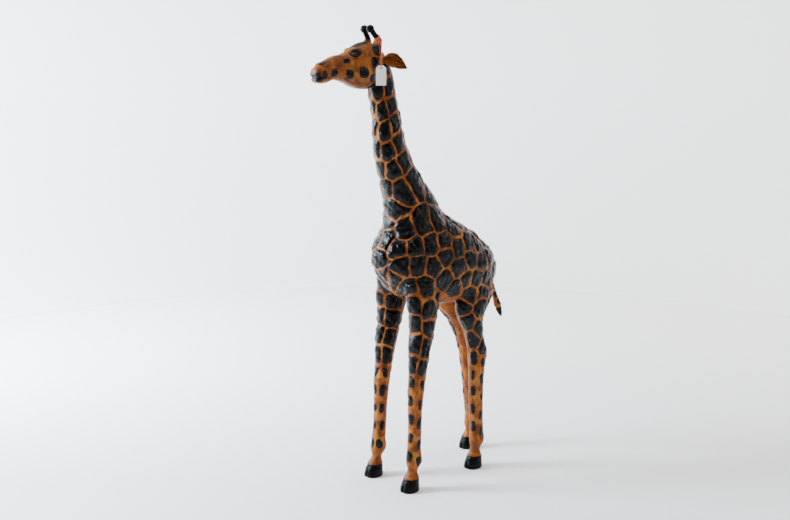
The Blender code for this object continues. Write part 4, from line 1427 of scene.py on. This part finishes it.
class GIRAFFE_OT_tail(bpy.types.Operator):
    """Makes the spotted tail sleeve and its dark tuft"""

    bl_idname = "giraffe.tail"
    bl_label = "Tail"

    def execute(self, context):
        lean = unit(np.array([0.0, TAIL_SLOPE, -1.0]))
        # sleeve: distance from the root, radius
        rows = ((TAIL_START, 0.0060), (0.0, 0.0085), (0.008, 0.0096), (0.060, 0.0092), (0.095, 0.0094))
        rows += ((0.118, 0.0110), (0.133, 0.0131), (0.143, 0.0122), (TAIL_END, 0.0098))
        along = np.linspace(TAIL_START, TAIL_END, 130)
        radius = smooth(rows, along)[:, 0]
        radius = radius + 0.0004 * np.sin(along * 2 * math.pi / 0.0085) * step(0.0, 0.02, along)
        path = TAIL_ROOT + along[:, None] * lean
        points, faces = loft(tube_rings(path, radius, 44))
        out = away_from_axis(points, TAIL_ROOT, lean)
        points = points + out * (0.0005 * waves(points, 0.012, 41))[:, None]
        far = (points - TAIL_ROOT) @ lean
        turn = np.arctan2(out[:, 0], out @ np.cross(lean, [1.0, 0.0, 0.0]))
        spots = np.full(len(points), -9.0)
        # distance from the root, angle round the tail, half length, half width as an angle
        for place, angle, long, wide in (
            (0.028, 1.5, 0.011, 0.9),
            (0.060, 1.9, 0.012, 0.9),
            (0.092, 1.4, 0.012, 0.9),
            (0.122, 1.8, 0.011, 0.8),
            (0.030, -1.5, 0.011, 0.9),
            (0.062, -1.9, 0.012, 0.9),
            (0.094, -1.4, 0.012, 0.9),
            (0.124, -1.7, 0.011, 0.8),
        ):
            gap = turned_back(turn - angle)
            spots = np.maximum(spots, (1 - np.hypot((far - place) / long, gap / wide)) * 9)
        made = new_piece(
            "tail_leather", points, faces, "tail", leather(), ("tail_sleeve",)
        )
        paint(made.data, "patch", spots)
        paint(made.data, "shade", np.zeros(len(points)))
        paint(made.data, "wear", 0.4 * step(0.11, 0.13, far))
        self.tuft(lean)
        return {"FINISHED"}

    def tuft(self, lean):
        """Locks of dark leather fringe: a tapering tube whose radius ripples with the angle."""
        start = TAIL_ROOT + TUFT_START * lean
        along = np.linspace(0, TUFT_LENGTH, 70)
        rows = ((0.0, 0.0090), (0.008, 0.0102), (0.024, 0.0086), (0.038, 0.0052), (TUFT_LENGTH, 0.0012))
        radius = smooth(rows, along)[:, 0]
        rings = tube_rings(start + along[:, None] * lean, radius, 72)
        middle = rings.mean(axis=1, keepdims=True)
        turn = np.linspace(0, 2 * math.pi, 72, endpoint=False)
        grown = step(0.002, 0.012, along)[:, None]
        ripple = 1 + 0.10 * np.sin(9 * turn[None, :] + 40 * along[:, None]) * grown
        rings = middle + (rings - middle) * ripple[..., None]
        points, faces = loft(rings)
        new_piece("tail_fringe", points, faces, "tail", strip_black(), ("tail_tuft",))


class GIRAFFE_OT_inner_pieces(bpy.types.Operator):
    """Gives the wooden cores, dowels and the tail's wire their own materials"""

    bl_idname = "giraffe.inner_pieces"
    bl_label = "Cores and dowels"

    def execute(self, context):
        wood, wire = raw_wood(), iron_wire()
        for name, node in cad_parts.items():
            if name.endswith(("_core", "_dowel", "_peg", "_wire")):
                node.data.materials.clear()
                node.data.materials.append(wire if name == "tail_wire" else wood)
        return {"FINISHED"}


STEPS = (
    GIRAFFE_OT_stage,
    GIRAFFE_OT_tag_string,
    GIRAFFE_OT_hide,
    GIRAFFE_OT_horns_and_eyes,
    GIRAFFE_OT_ears,
    GIRAFFE_OT_mane,
    GIRAFFE_OT_hooves,
    GIRAFFE_OT_tail,
    GIRAFFE_OT_inner_pieces,
)
SETTINGS = {
    "giraffe_hide": GiraffeHideSettings,
    "giraffe_trim": GiraffeTrimSettings,
    "giraffe_stage": GiraffeStageSettings,
}


class GIRAFFE_PT_panel(bpy.types.Panel):
    """Lists the statue's settings and its pieces"""

    bl_idname = "GIRAFFE_PT_panel"
    bl_label = "Giraffe statue"
    bl_space_type = "VIEW_3D"
    bl_region_type = "UI"
    bl_category = "Giraffe"

    def draw(self, context):
        for key, group in SETTINGS.items():
            box = self.layout.box()
            for name in group.__annotations__:
                box.prop(getattr(context.scene, key), name)
        for operator in STEPS:
            self.layout.operator(operator.bl_idname)


def register():
    """Makes the classes known to Blender and hangs the settings on the scene."""
    for made in (*SETTINGS.values(), *STEPS, GIRAFFE_PT_panel):
        bpy.utils.register_class(made)
    for key, group in SETTINGS.items():
        setattr(bpy.types.Scene, key, PointerProperty(type=group))


def unregister():
    """Takes back what register did."""
    for key in SETTINGS:
        delattr(bpy.types.Scene, key)
    for made in reversed((*SETTINGS.values(), *STEPS, GIRAFFE_PT_panel)):
        bpy.utils.unregister_class(made)


def main():
    """Runs every step in order."""
    register()
    for operator in STEPS:
        group, name = operator.bl_idname.split(".")
        getattr(getattr(bpy.ops, group), name)()


if __name__ == "__main__":
    main()
